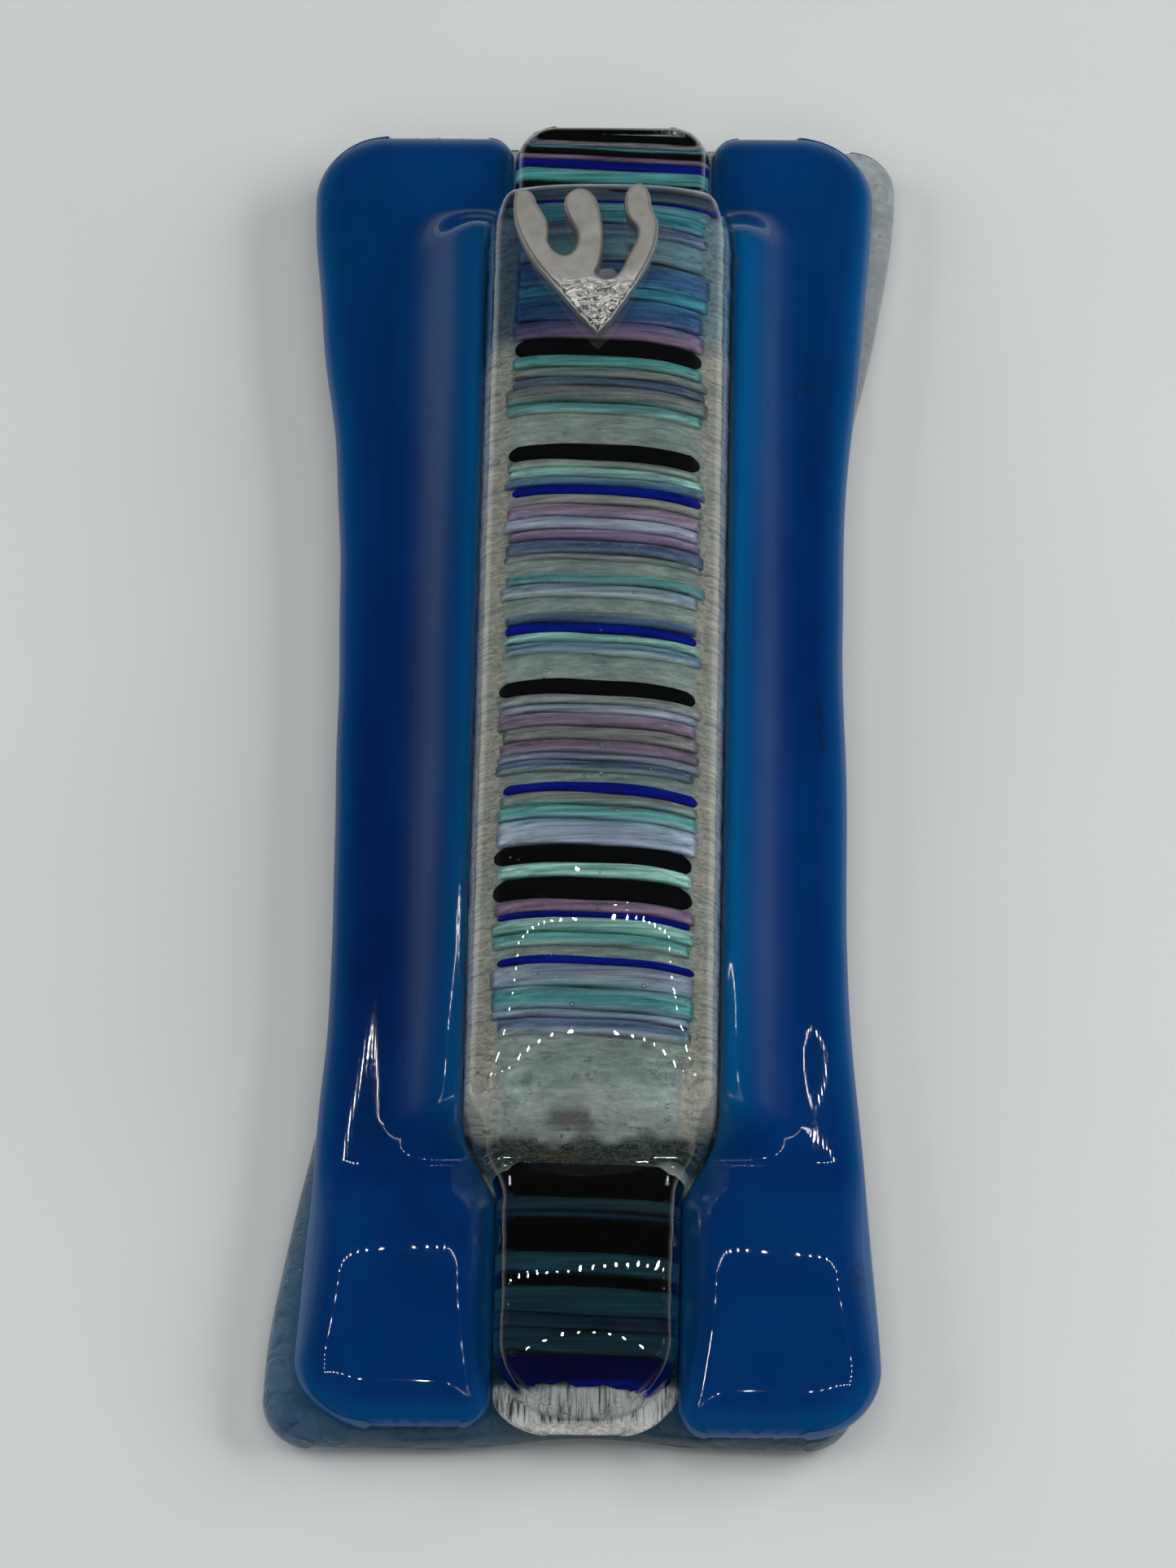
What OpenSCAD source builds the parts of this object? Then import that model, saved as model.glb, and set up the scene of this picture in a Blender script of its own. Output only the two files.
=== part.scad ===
// Mezuzah case in kiln-formed glass, lying on its back.
// X is the width, +Y points to the top of the case, +Z to its front.
// A clear base, two blue wings and a barred centre strip are fused flat and slumped over a
// former, which leaves the open channel in the back that holds the scroll.

/* [Case] */
// Length of the case
case_length = 140; // [120:1:160]
// Width across either end of the blue glass
end_width = 51.8; // [46:0.2:56]
// Width across the waist, where the glass has drawn in over the hump
waist_width = 45.8; // [42:0.2:50]
// Radius of the blue glass's outer corners
corner_radius = 7; // [4:0.5:8]
// Radius of the base's corners
base_corner = 4.5; // [3:0.5:6]
// How far the base leans across the case, for each millimetre of length
base_lean = 0.04; // [0:0.005:0.06]

/* [Glass] */
// Thickness of the clear base sheet
base_thickness = 2.8; // [2:0.1:3.5]
// Thickness of the blue sheets
blue_thickness = 2.8; // [2:0.1:3.5]
// Thickness of the whole centre strip above the base
strip_thickness = 4.4; // [3.5:0.1:5]
// Part of the strip's thickness that is the silver sheet
silver_share = 0.18; // [0.12:0.01:0.25]
// Part of the strip's thickness below the top of the bars
bars_share = 0.32; // [0.28:0.01:0.4]
// How far the lower flats of the wings and the strip swell in the middle
pillow_height = 1.4; // [0:0.1:1.8]

/* [Hump] */
// Height of the channel under the glass
channel_height = 8.8; // [8:0.1:9.5]
// Rise of the outer surface of the hump
hump_rise = 9.3; // [8:0.1:10]
// Shift of the hump's centre line from the centre of the case
hump_shift = 0.8; // [-1:0.1:1.5]

/* [Strip] */
// Width of the strip over the hump
strip_width = 22.8; // [18:0.2:23]
// Width of the strip on the lower flat
strip_width_low = 16.6; // [14:0.2:18]
// Width of the strip on the upper flat
strip_width_high = 18.6; // [16:0.2:21]
// How far the strip leans to the right, for each millimetre of length
strip_lean = 0.02; // [0:0.005:0.03]
// How far the bars drop to the right, for each millimetre of width
bar_tilt = 0.05; // [0:0.01:0.08]

/* [Letter] */
// Height of the metal letter
letter_height = 17; // [14:0.5:19]
// Thickness of the metal letter
letter_thickness = 1.4; // [1:0.1:2]

/* [Scroll] */
// Length of the rolled parchment
scroll_length = 74; // [60:1:76]
// Outer radius of the clear sleeve round the scroll
sleeve_radius = 4; // [3.4:0.1:4.2]
// Length of the clear sleeve
sleeve_length = 78; // [64:1:80]

/* [Mounting] */
// Thickness of the mounting tape on the back
tape_thickness = 0.8; // [0.5:0.1:1.2]
// Width of the tape pads
tape_width = 36; // [20:1:40]

/* [Hidden] */

half_length = case_length / 2;
lap_share = 0.03;       // clearance between stacked sheets, as a share of what lies above
rim_share = 0.4;        // height of an edge's flat face, as a share of the sheet
low_sag = 0.28;         // fall of the crown before the lower brow, as a share of the rise
high_sag = 0.13;        // fall of the crown before the upper brow
row_slant = 0.008;      // how far the end edges drop to the right
bluntness = 1.6;        // power that flattens the hump's crown and steepens its flanks
waist_low = -16;        // the waist is straight between these two
waist_high = 20;

// A formed surface is [height of the flats, rise of the hump, half width of the hump,
// lower foot, lower brow, upper brow, upper foot].
back_face = [tape_thickness, channel_height, 12.5, -39.8, -35.5, 51.5, 56.5];
base_face = [tape_thickness + base_thickness, channel_height - 0.2, 17.6, -42.1, -37.6, 53.5, 59.5];
blue_face = [base_face[0] + blue_thickness, hump_rise, 19.6, -43.6, -38.9, 55.2, 61.3];
cap_face = [base_face[0] + strip_thickness, hump_rise, 20.2, -44.1, -39.3, 56, 62];

// Rows and columns at which every sheet is sampled
flat_rows_low = [-66.3, -62, -56, -50.5];
brow_rows_low = [for (y = [-46:0.9:-36]) y];
crown_rows = [-33, -29, -23, -16, -8, 0, 8, 16, 24, 31, 37, 42, 46, 49.5];
brow_rows_high = [for (y = [51.5:1.1:62.6]) y];
flat_rows_high = [64.5, 66.5];
middle_rows = concat(flat_rows_low, brow_rows_low, crown_rows, brow_rows_high, flat_rows_high);
channel_columns = [0, 2.2, 4.2, 6, 7.6, 9.2, 10.6, 12, 13.4, 14.8, 16.2, 17.8, 19.6];
strip_columns = [for (i = [-4:4]) i / 4];

// The strip's bars from the upper end to the lower one, as [glass, width]
bars = [
    ["black", 0.8], ["silver", 0.3], ["mauve", 0.5], ["teal", 0.3], ["black", 0.7],
    ["mauve", 0.6], ["cobalt", 1], ["teal", 1.6], ["black", 1.4], ["slate", 1.6],
    ["mauve", 1.2], ["taupe", 1.9], ["cobalt", 0.8], ["seafoam", 1.9], ["teal", 1.9],
    ["mauve", 1.4], ["silver", 1.8], ["taupe", 1.4], ["slate", 2.8], ["teal", 1.4],
    ["slate", 2.7], ["mauve", 2], ["black", 1.9], ["teal", 1.3], ["taupe", 1.2],
    ["slate", 0.9], ["taupe", 1.9], ["teal", 1.2], ["silver", 3.3], ["black", 1.8],
    ["taupe", 0.9], ["seafoam", 1.1], ["slate", 0.9], ["cobalt", 1], ["taupe", 1.1],
    ["mauve", 1.4], ["lavender", 1.4], ["mauve", 1.1], ["slate", 1.5], ["taupe", 0.6],
    ["silver", 1.4], ["teal", 1.3], ["lavender", 1.4], ["silver", 1.7], ["slate", 1.2],
    ["cobalt", 1.1], ["seafoam", 1], ["slate", 1.2], ["silver", 2.8], ["black", 1.6],
    ["taupe", 1.1], ["lavender", 1], ["mauve", 1.4], ["taupe", 1.5], ["mauve", 1.3],
    ["lavender", 0.9], ["slate", 1.1], ["silver", 1.2], ["cobalt", 1.1], ["taupe", 1.3],
    ["teal", 1.5], ["lavender", 2.7], ["black", 1.9], ["seafoam", 1.5], ["black", 2.4],
    ["mauve", 1.3], ["cobalt", 0.6], ["seafoam", 1.5], ["teal", 1.3], ["silver", 1],
    ["cobalt", 0.8], ["lavender", 2.2], ["teal", 2.1], ["lavender", 0.8], ["slate", 1.4],
    ["silver", 9.2], ["black", 3.6], ["taupe", 1.5], ["slate", 0.8], ["black", 3.4],
    ["teal", 2.2], ["black", 1.2], ["teal", 2.7], ["slate", 1.4], ["teal", 2.3],
    ["cobalt", 2.7]
];
first_bar = 69.8;       // upper edge of the first bar
bar_gap = 0.08;         // gap between neighbouring bars
bar_rows_flat = 1.6;    // a bar is sampled at least this often along the case
bar_rows_steep = 0.7;   // and this often on the hump's ends

function clamp01(t) = min(1, max(0, t));
function ease(t) = clamp01(t) ^ 2 * (3 - 2 * clamp01(t));
function mix(a, b, t) = a + (b - a) * t;
function reverse(list) = [for (i = [len(list) - 1:-1:0]) list[i]];

// Centre lines of the hump and of the strip
function hump_axis(y) = hump_shift + y / 100;
function strip_axis(y) = hump_shift + 0.2 + strip_lean * y;

// Cross-section of a formed surface: a blunt bell, from 1 on the axis to 0 at the foot
function arch(x, face) = (1 + cos(180 * min(1, abs(x) / face[2]) ^ bluntness)) / 2;

// Run of the hump along the case, with a steep foot at either end
function run(y, face) =
    ease((y - face[3]) / (face[4] - face[3])) * ease((face[6] - y) / (face[6] - face[5]));

// How far the crown sags towards either brow
function sag(y) =
    low_sag * min(1.3, max(0, (-24.5 - y) / 15)) ^ 2 + high_sag * clamp01((y - 34) / 24) ^ 2;

function height(x, y, face) =
    let (a = arch(x - hump_axis(y), face))
    face[0] + face[1] * a * run(y, face) * (1 - a * sag(y));

// Height between the base's top and a face above it
function stack_height(x, y, face, share) = mix(height(x, y, base_face), height(x, y, face), share);
function strip_height(x, y, share) = stack_height(x, y, cap_face, share);

// Swelling of a flat between its lower and upper ends, 0 at both. Its peak lies past the middle
// for a power above 1.
function swell(y, low, high, power) =
    y <= low || y >= high ? 0 : sin(180 * ((y - low) / (high - low)) ^ power);

// Half widths along the case
function half_width(y) =
    let (away = y > 0 ? (y - waist_high) / 44 : (waist_low - y) / 58)
    mix(waist_width, end_width, ease(away)) / 2;
function strip_half(y) =
    let (low = mix(strip_width_low, strip_width, ease((y + 47.3) / 8)))
    mix(low, strip_width_high, ease((y - 53) / 9)) / 2;
function bars_half(y) = strip_half(y) - 0.9 - 2.6 * ease((y + 47.3) / 8) * ease((62 - y) / 9);

// How far a rounded corner pulls the edge in, at distance d from the end
function corner(d, radius) = d >= radius ? 0 : radius - sqrt(radius ^ 2 - (radius - max(0, d)) ^ 2);

// Share of the full thickness at distance d from a fire-polished edge
function rim(d, width) =
    d >= width ? 1 : mix(rim_share, 1, sqrt(1 - (1 - max(0, d) / width) ^ 2));

// Rows between two ends, with extra rows round the corners
function rows(low, high, radius) =
    let (steps = [0, 0.12, 0.4, 1] * radius)
    concat(
        [for (s = steps) low + s],
        [for (y = middle_rows) if (y > low + radius + 0.5 && y < high - radius - 0.5) y],
        [for (s = reverse(steps)) high - s]
    );

// A closed sheet between two height functions. Each sample is [x, y, share of thickness].
module sheet(samples, low, high) {
    down = len(samples);
    across = len(samples[0]);
    layer = down * across;
    flat_list = [for (row = samples) each row];
    bottom = [for (s = flat_list) [s[0], s[1], low(s[0], s[1])]];
    top = [for (s = flat_list) [s[0], s[1], mix(low(s[0], s[1]), high(s[0], s[1]), s[2])]];
    cells = [for (i = [0:down - 2], j = [0:across - 2]) i * across + j];
    loop = concat(
        [for (j = [0:across - 1]) j],
        [for (i = [1:down - 1]) i * across + across - 1],
        [for (j = [across - 2:-1:0]) (down - 1) * across + j],
        [for (i = [down - 2:-1:1]) i * across]
    );
    polyhedron(
        concat(bottom, top),
        concat(
            [for (c = cells) each [[c, c + 1, c + across + 1], [c, c + across + 1, c + across]]],
            [for (c = cells) each [
                [layer + c, layer + c + across + 1, layer + c + 1],
                [layer + c, layer + c + across, layer + c + across + 1]
            ]],
            [for (k = [0:len(loop) - 1])
                let (a = loop[k], b = loop[(k + 1) % len(loop)])
                each [[a, layer + a, layer + b], [a, layer + b, b]]]
        )
    );
}

// Columns of one row: fixed places about the hump, then the sheet's own edges
function edge_columns(left, right, fixed, width) =
    concat([left, left + 0.25 * width, left + width], fixed, [right - width, right - 0.25 * width, right]);

// ---- Base sheet ----
base_low = -69.9;
base_high = 70.1;
base_rim = 1.2;
base_fixed = concat(reverse([for (c = channel_columns) if (c > 0) -c]), channel_columns);
function base_lobe(x) = 1.1 * exp(-((x - 0.5) / 8) ^ 2);
// The base shows past the blue at the ends and hides under it at the waist
function base_reach(y) = half_width(y) + mix(-1.6, 0.3, ease((abs(y) - 25) / 38));
function base_row(y) =
    let (
        from_end = min(y - base_low, base_high - y),
        pull = corner(from_end, base_corner),
        axis = hump_axis(y),
        left = -base_reach(y) + base_lean * y + pull,
        right = base_reach(y) + base_lean * y - pull,
        room = min(axis - left, right - axis) - base_rim - 0.3,
        fit = min(1, room / channel_columns[len(channel_columns) - 1]),
        xs = edge_columns(left, right, [for (c = base_fixed) axis + c * fit], base_rim),
        near_low = clamp01((base_low + 12 - y) / 12)
    )
    [for (x = xs) [
        x,
        y - row_slant * x + near_low * base_lobe(x),
        rim(min(x - left, right - x), base_rim) * rim(from_end, base_rim)
    ]];

module base_glass() {
    color([0.82, 0.88, 0.87, 0.6])
        sheet(
            [for (y = rows(base_low, base_high, base_corner)) base_row(y)],
            function(x, y) height(x, y, back_face),
            function(x, y) height(x, y, base_face)
        );
}

// ---- Blue wings ----
blue_rim = 3;
blue_inner_radius = 2.6;
blue_fixed = [12.4, 14, 15.6, 17.4, 19.4];
function blue_outer(y, side) = half_width(y) + side * (y / 240 + 0.25) + 0.2;
function blue_inner(y, side) = side * strip_axis(y) + strip_half(y) + 0.12;

// Top of a wing: the formed surface, with a pillow on its lower flat
function wing_top(x, y, side, low) =
    let (
        across = (side * x - blue_inner(y, side)) / (blue_outer(y, side) - blue_inner(y, side)),
        pillow = 1 - abs(2 * clamp01(across) - 1) ^ 3
    )
    height(x, y, blue_face) + pillow_height * pillow * swell(y, low, -44, 1.3);

function blue_row(y, side, low, high) =
    let (
        from_end = min(y - low, high - y),
        outer = blue_outer(y, side) - corner(from_end, corner_radius),
        inner = blue_inner(y, side) + corner(from_end, blue_inner_radius),
        last = len(blue_fixed),
        places = [for (i = [0:last - 1]) min(
            max(side * hump_axis(y) + blue_fixed[i], inner + 0.5 + 0.3 * (i + 1)),
            outer - blue_rim - 0.3 * (last - i)
        )],
        xs = concat([inner, inner + 0.5], places, [outer - blue_rim, outer - 0.8, outer]),
        ordered = side > 0 ? xs : reverse(xs)
    )
    [for (x = ordered) [
        side * x,
        y - row_slant * side * x,
        rim(min(outer - x, x - inner + 1.6), blue_rim) * rim(from_end, blue_rim)
    ]];

module blue_wing(side, low, high) {
    color([0.02, 0.2, 0.45])
        sheet(
            [for (y = rows(low, high, corner_radius)) blue_row(y, side, low, high)],
            function(x, y) stack_height(x, y, blue_face, lap_share),
            function(x, y) wing_top(x, y, side, low)
        );
}
module blue_glass_left() { blue_wing(-1, -69.3, 70); }
module blue_glass_right() { blue_wing(1, -70.1, 70.1); }

// ---- Centre strip ----
// Every sheet of the strip is sampled across at the same places as the bars, then at its own edge
function strip_row(y, half, low, high, radius, side_rim, end_rim) =
    let (
        from_end = min(y - low, high - y),
        reach = half - corner(from_end, radius),
        inner = min(bars_half(y), reach - 0.5),
        xs = concat([-reach, -reach + 0.25], strip_columns * inner, [reach - 0.25, reach])
    )
    [for (x = xs) [
        strip_axis(y) + x,
        y - row_slant * x,
        rim(reach - abs(x), side_rim) * rim(y - low, end_rim) * rim(high - y, side_rim)
    ]];

silver_low = -69.7;
silver_high = 70;

module silver_strip() {
    color([0.75, 0.78, 0.74])
        sheet(
            [for (y = rows(silver_low, silver_high, 5))
                strip_row(y, strip_half(y), silver_low, silver_high, y < 0 ? 5 : 2, 0.6, 0.6)],
            function(x, y) strip_height(x, y, lap_share),
            function(x, y) strip_height(x, y, silver_share)
        );
}

cap_low = -68.6;
cap_high = 69.9;
function cap_half(y) = strip_half(y) - 0.3;
function cap_top(x, y) =
    let (across = clamp01(abs(x - strip_axis(y)) / cap_half(y)))
    height(x, y, cap_face) + pillow_height * swell(y, cap_low, -44, 0.8) * (1 - across ^ 2);

module cap_glass() {
    color([0.85, 0.9, 0.9, 0.4])
        sheet(
            [for (y = rows(cap_low, cap_high, 7))
                strip_row(y, cap_half(y), cap_low, cap_high, y < 0 ? 7 : 4, 2, 12)],
            function(x, y) strip_height(x, y, bars_share + lap_share),
            function(x, y) cap_top(x, y)
        );
}

// ---- Bars ----
// Lower edge of bar i, which is the upper edge of the next one
function bar_end(i) = i < 0 ? first_bar : bar_end(i - 1) - bars[i][1];

function bar_row(y, pull) =
    let (reach = bars_half(y) - pull)
    [for (x = strip_columns * reach) [strip_axis(y) + x, y - (bar_tilt + row_slant) * x, 1]];

module bar(low, high) {
    steep = (low < -40 && high > -48) || (high > 53 && low < 64);
    steps = ceil((high - low) / (steep ? bar_rows_steep : bar_rows_flat));
    sheet(
        [for (i = [0:steps]) bar_row(mix(low, high, i / steps), high - low > 1 && i % steps == 0 ? 0.25 : 0)],
        function(x, y) strip_height(x, y, silver_share + lap_share),
        function(x, y) strip_height(x, y, bars_share)
    );
}

module bars_of(glass) {
    for (i = [0:len(bars) - 1])
        if (bars[i][0] == glass)
            bar(bar_end(i) + bar_gap / 2, bar_end(i - 1) - bar_gap / 2);
}

module black_bars() { color([0.03, 0.03, 0.05]) bars_of("black"); }
module cobalt_bars() { color([0.02, 0.08, 0.6]) bars_of("cobalt"); }
module teal_bars() { color([0.25, 0.5, 0.5]) bars_of("teal"); }
module seafoam_bars() { color([0.6, 0.78, 0.7]) bars_of("seafoam"); }
module mauve_bars() { color([0.5, 0.4, 0.5]) bars_of("mauve"); }
module slate_bars() { color([0.25, 0.35, 0.45]) bars_of("slate"); }
module taupe_bars() { color([0.5, 0.5, 0.46]) bars_of("taupe"); }
module lavender_bars() { color([0.65, 0.62, 0.72]) bars_of("lavender"); }

// ---- Letter ----
letter_place = [0.7, 37.9];
letter_turn = 2;
letter_pitch = -2.6;
glue_bed = 0.25;
// The letter lies in a plane that touches the crown, a glue bed above it
letter_base = height(letter_place[0], letter_place[1], cap_face) + glue_bed;

// Point at t on a curve that is set by its control points
function bezier(points, t) =
    len(points) == 1 ? points[0]
    : bezier([for (i = [0:len(points) - 2]) mix(points[i], points[i + 1], t)], t);
function curve(points, steps) = [for (i = [0:steps - 1]) bezier(points, i / steps)];

// Outline of the letter for a height of 17, from its tip round by the left arm
letter_outline = concat(
    curve([[0.2, 0], [-1.6, 2.2], [-3.2, 5.2], [-4.8, 7.6]], 5),
    curve([[-4.8, 7.6], [-6.6, 10.6], [-7.6, 14], [-6.8, 16.8]], 5),
    curve([[-6.8, 16.8], [-6, 17.4], [-5, 16.6], [-5, 15.6]], 3),
    curve([[-5, 15.6], [-4.6, 14.4], [-3.4, 13], [-4, 11]], 4),
    curve([[-4, 11], [-3.8, 9.4], [-2.2, 8.2], [-1.5, 10]], 5),
    curve([[-1.5, 10], [-0.6, 12], [-2.8, 13.4], [-2.3, 15.7]], 5),
    curve([[-2.3, 15.7], [-1.6, 17.4], [0.2, 17.4], [0.8, 15]], 5),
    curve([[0.8, 15], [1.4, 12], [1.2, 8.6], [0.3, 7]], 4),
    curve([[0.3, 7], [0.6, 5.8], [2.2, 5.6], [3, 8.2]], 4),
    curve([[3, 8.2], [4, 10.4], [5, 11.6], [3.6, 13]], 4),
    curve([[3.6, 13], [2.8, 14.4], [3.2, 17.6], [4.8, 17.3]], 4),
    curve([[4.8, 17.3], [6.2, 16.2], [5.2, 14.8], [6.2, 13]], 4),
    curve([[6.2, 13], [6.6, 9.4], [3.6, 5], [0.8, 0.5]], 6)
);

module letter_frame() {
    translate([letter_place[0], letter_place[1], letter_base])
        rotate([letter_pitch, 0, letter_turn])
            children();
}

module shin_letter() {
    color([0.62, 0.63, 0.62])
        letter_frame()
            linear_extrude(letter_thickness)
                polygon(letter_outline * letter_height / 17);
}

module shin_adhesive() {
    glue_columns = [-2.6, -1.3, 0, 1.3, 2.6];
    glue_rows = [2.6, 4.4, 6.2, 8];
    samples = [for (v = glue_rows) [for (u = glue_columns * (0.5 + v / 16)) [
        letter_place[0] + u * cos(letter_turn) - v * sin(letter_turn),
        letter_place[1] + u * sin(letter_turn) + v * cos(letter_turn),
        1
    ]]];
    color([0.85, 0.85, 0.78])
        sheet(
            samples,
            function(x, y) height(x, y, cap_face) + 0.02,
            function(x, y) letter_base + (y - letter_place[1]) * tan(letter_pitch) - 0.02
        );
}

// ---- Scroll ----
scroll_middle = 8;
sleeve_wall = 0.35;
parchment_thickness = 0.3;
parchment_pitch = 0.62;
parchment_outer = sleeve_radius - sleeve_wall - 0.25;
parchment_turns = 3.25;

// A roll seen end on: out along the outer face and back along the inner one
module roll_section() {
    steps = 90;
    function reach(i) = parchment_outer - parchment_pitch * parchment_turns * (1 - i / steps);
    function place(i, r) = r * [cos(360 * parchment_turns * i / steps), sin(360 * parchment_turns * i / steps)];
    polygon(concat(
        [for (i = [0:steps]) place(i, reach(i))],
        [for (i = [steps:-1:0]) place(i, reach(i) - parchment_thickness)]
    ));
}

module scroll_frame(length) {
    translate([hump_axis(scroll_middle), scroll_middle + length / 2, sleeve_radius])
        rotate([90, 0, 0])
            linear_extrude(length)
                children();
}

module scroll_parchment() {
    color([0.9, 0.84, 0.7])
        scroll_frame(scroll_length)
            roll_section();
}

module scroll_sleeve() {
    color([0.85, 0.9, 0.95, 0.35])
        scroll_frame(sleeve_length)
            difference() {
                circle(sleeve_radius, $fn = 64);
                circle(sleeve_radius - sleeve_wall, $fn = 64);
            }
}

// ---- Mounting tape ----
module tape_pad(low, high) {
    color([0.9, 0.9, 0.88])
        translate([hump_shift - tape_width / 2, low, 0])
            cube([tape_width, high - low, tape_thickness]);
}
module tape_pad_top() { tape_pad(59, 67); }
module tape_pad_bottom() { tape_pad(-65, -46); }

base_glass();
blue_glass_left();
blue_glass_right();
silver_strip();
cap_glass();
black_bars();
cobalt_bars();
teal_bars();
seafoam_bars();
mauve_bars();
slate_bars();
taupe_bars();
lavender_bars();
shin_letter();
shin_adhesive();
scroll_parchment();
scroll_sleeve();
tape_pad_top();
tape_pad_bottom();
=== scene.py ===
"""Looks of a kiln-formed glass mezuzah case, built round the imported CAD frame.

The case lies on its back: X is its width, +Y its top, +Z its front. Shapes are worked out in
millimetres with the same surfaces as the CAD, then written to the meshes in metres.
"""

import math
from collections import namedtuple

import bpy
import bmesh
import numpy as np
from mathutils import Matrix, Vector


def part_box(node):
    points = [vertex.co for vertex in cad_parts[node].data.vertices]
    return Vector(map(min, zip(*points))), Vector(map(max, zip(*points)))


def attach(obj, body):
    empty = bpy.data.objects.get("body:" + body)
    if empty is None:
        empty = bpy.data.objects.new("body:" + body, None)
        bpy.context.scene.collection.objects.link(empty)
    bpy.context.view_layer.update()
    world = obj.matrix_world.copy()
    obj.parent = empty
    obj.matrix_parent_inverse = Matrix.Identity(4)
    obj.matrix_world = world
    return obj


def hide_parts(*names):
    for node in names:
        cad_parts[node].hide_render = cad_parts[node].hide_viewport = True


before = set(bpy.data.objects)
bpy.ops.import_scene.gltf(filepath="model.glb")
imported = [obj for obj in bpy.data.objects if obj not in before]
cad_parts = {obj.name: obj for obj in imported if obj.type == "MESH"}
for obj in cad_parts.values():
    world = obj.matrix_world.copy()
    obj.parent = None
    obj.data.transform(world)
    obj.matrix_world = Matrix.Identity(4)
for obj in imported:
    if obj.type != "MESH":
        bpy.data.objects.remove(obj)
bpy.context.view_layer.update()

MM = 0.001
MIX_FACTOR, MIX_A, MIX_B = 0, 6, 7  # a Mix node's sockets for colours
MIXED = 2  # and its output
CASE_BODY = "case"
SCROLL_BODY = "scroll"

# ---------------------------------------------------------------- formed surfaces, in millimetres

Face = namedtuple("Face", "flat rise reach low_foot low_brow high_brow high_foot")

BACK = Face(0.8, 8.8, 12.5, -39.8, -35.5, 51.5, 56.5)
BASE = Face(3.6, 8.6, 17.6, -42.1, -37.6, 53.5, 59.5)
BLUE = Face(6.4, 9.3, 19.6, -43.6, -38.9, 55.2, 61.3)
CAP = Face(8.0, 9.3, 20.2, -44.1, -39.3, 56, 62)

BLUNTNESS = 1.6  # power that flattens the hump's crown and steepens its flanks
SILVER_SHARE = 0.18
BARS_SHARE = 0.32
LOW_SAG = 0.28
HIGH_SAG = 0.13
SAG_STARTS = (-24.5, 34)
PILLOW_HEIGHT = 1.4
PILLOW_END = -44
FUSED = 0.05  # fused sheets run into each other by this much, so no air shows between them
ROW_SLANT = 0.008
BASE_LEAN = 0.04
STRIP_LEAN = 0.02
BAR_TILT = 0.05
HUMP_SHIFT = 0.8
STRIP_SHIFT = 0.2
CORNER_RADIUS = 7.0
BASE_CORNER = 4.5
INNER_CORNER = 2.6
CASE_WIDTHS = (45.8, 51.8)  # across the waist and across the ends
WAIST = (-16, 20)  # where the case is narrowest
STRIP_WIDTHS = (16.6, 22.8, 18.6)  # on the lower flat, on the hump and on the upper flat
STRIP_WIDENS = -47.3
STRIP_NARROWS = 53
WIDENING, NARROWING = 8, 9  # over these lengths

# Lower and upper end of each sheet
BASE_ENDS = (-69.9, 70.1)
WING_ENDS = {"left": (-69.3, 70.0), "right": (-70.1, 70.1)}
SILVER_ENDS = (-69.7, 70)
CAP_ENDS = (-68.6, 69.9)


def clamp01(t):
    return np.clip(t, 0.0, 1.0)


def ease(t):
    t = clamp01(t)
    return t * t * (3 - 2 * t)


def mix(a, b, t):
    return a + (b - a) * t


def band(y, low, high, low_fade, high_fade):
    """1 between low and high, and 0 outside them, with a smooth fade just inside each."""
    return ease((y - low) / low_fade) * ease((high - y) / high_fade)


def hump_axis(y):
    return HUMP_SHIFT + y / 100


def strip_axis(y):
    return HUMP_SHIFT + STRIP_SHIFT + STRIP_LEAN * y


def arch(x, face):
    """Cross-section of the hump: a blunt bell, from 1 on the axis to 0 at the foot."""
    return (1 + np.cos(math.pi * clamp01(np.abs(x) / face.reach) ** BLUNTNESS)) / 2


def run(y, face):
    """Run of the hump along the case, from 0 on the flats to 1 on the crown."""
    low_slope = face.low_brow - face.low_foot
    high_slope = face.high_foot - face.high_brow
    return band(y, face.low_foot, face.high_foot, low_slope, high_slope)


def sag(y):
    """How far the crown sags towards either brow."""
    low = np.clip((SAG_STARTS[0] - y) / 15, 0, 1.3)
    high = clamp01((y - SAG_STARTS[1]) / 24)
    return LOW_SAG * low**2 + HIGH_SAG * high**2


def height(x, y, face):
    a = arch(x - hump_axis(y), face)
    return face.flat + face.rise * a * run(y, face) * (1 - a * sag(y))


def strip_height(x, y, share):
    return mix(height(x, y, BASE), height(x, y, CAP), share)


def half_width(y):
    away = np.where(y > 0, (y - WAIST[1]) / 44, (WAIST[0] - y) / 58)
    return mix(CASE_WIDTHS[0], CASE_WIDTHS[1], ease(away)) / 2


def strip_half(y):
    low = mix(STRIP_WIDTHS[0], STRIP_WIDTHS[1], ease((y - STRIP_WIDENS) / WIDENING))
    return mix(low, STRIP_WIDTHS[2], ease((y - STRIP_NARROWS) / NARROWING)) / 2


def bars_half(y):
    on_hump = band(y, STRIP_WIDENS, STRIP_NARROWS + NARROWING, WIDENING, NARROWING)
    return strip_half(y) - 0.9 - 2.6 * on_hump


def swell(y, low, high, power):
    """Swelling of a flat between its ends. It peaks past the middle for a power above 1."""
    return np.sin(math.pi * clamp01((y - low) / (high - low)) ** power)


def corner(d, radius):
    """How far a rounded corner pulls the edge in at distance d from the end."""
    inside = np.clip(radius - d, 0, radius)
    return radius - np.sqrt(radius**2 - inside**2)


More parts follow.
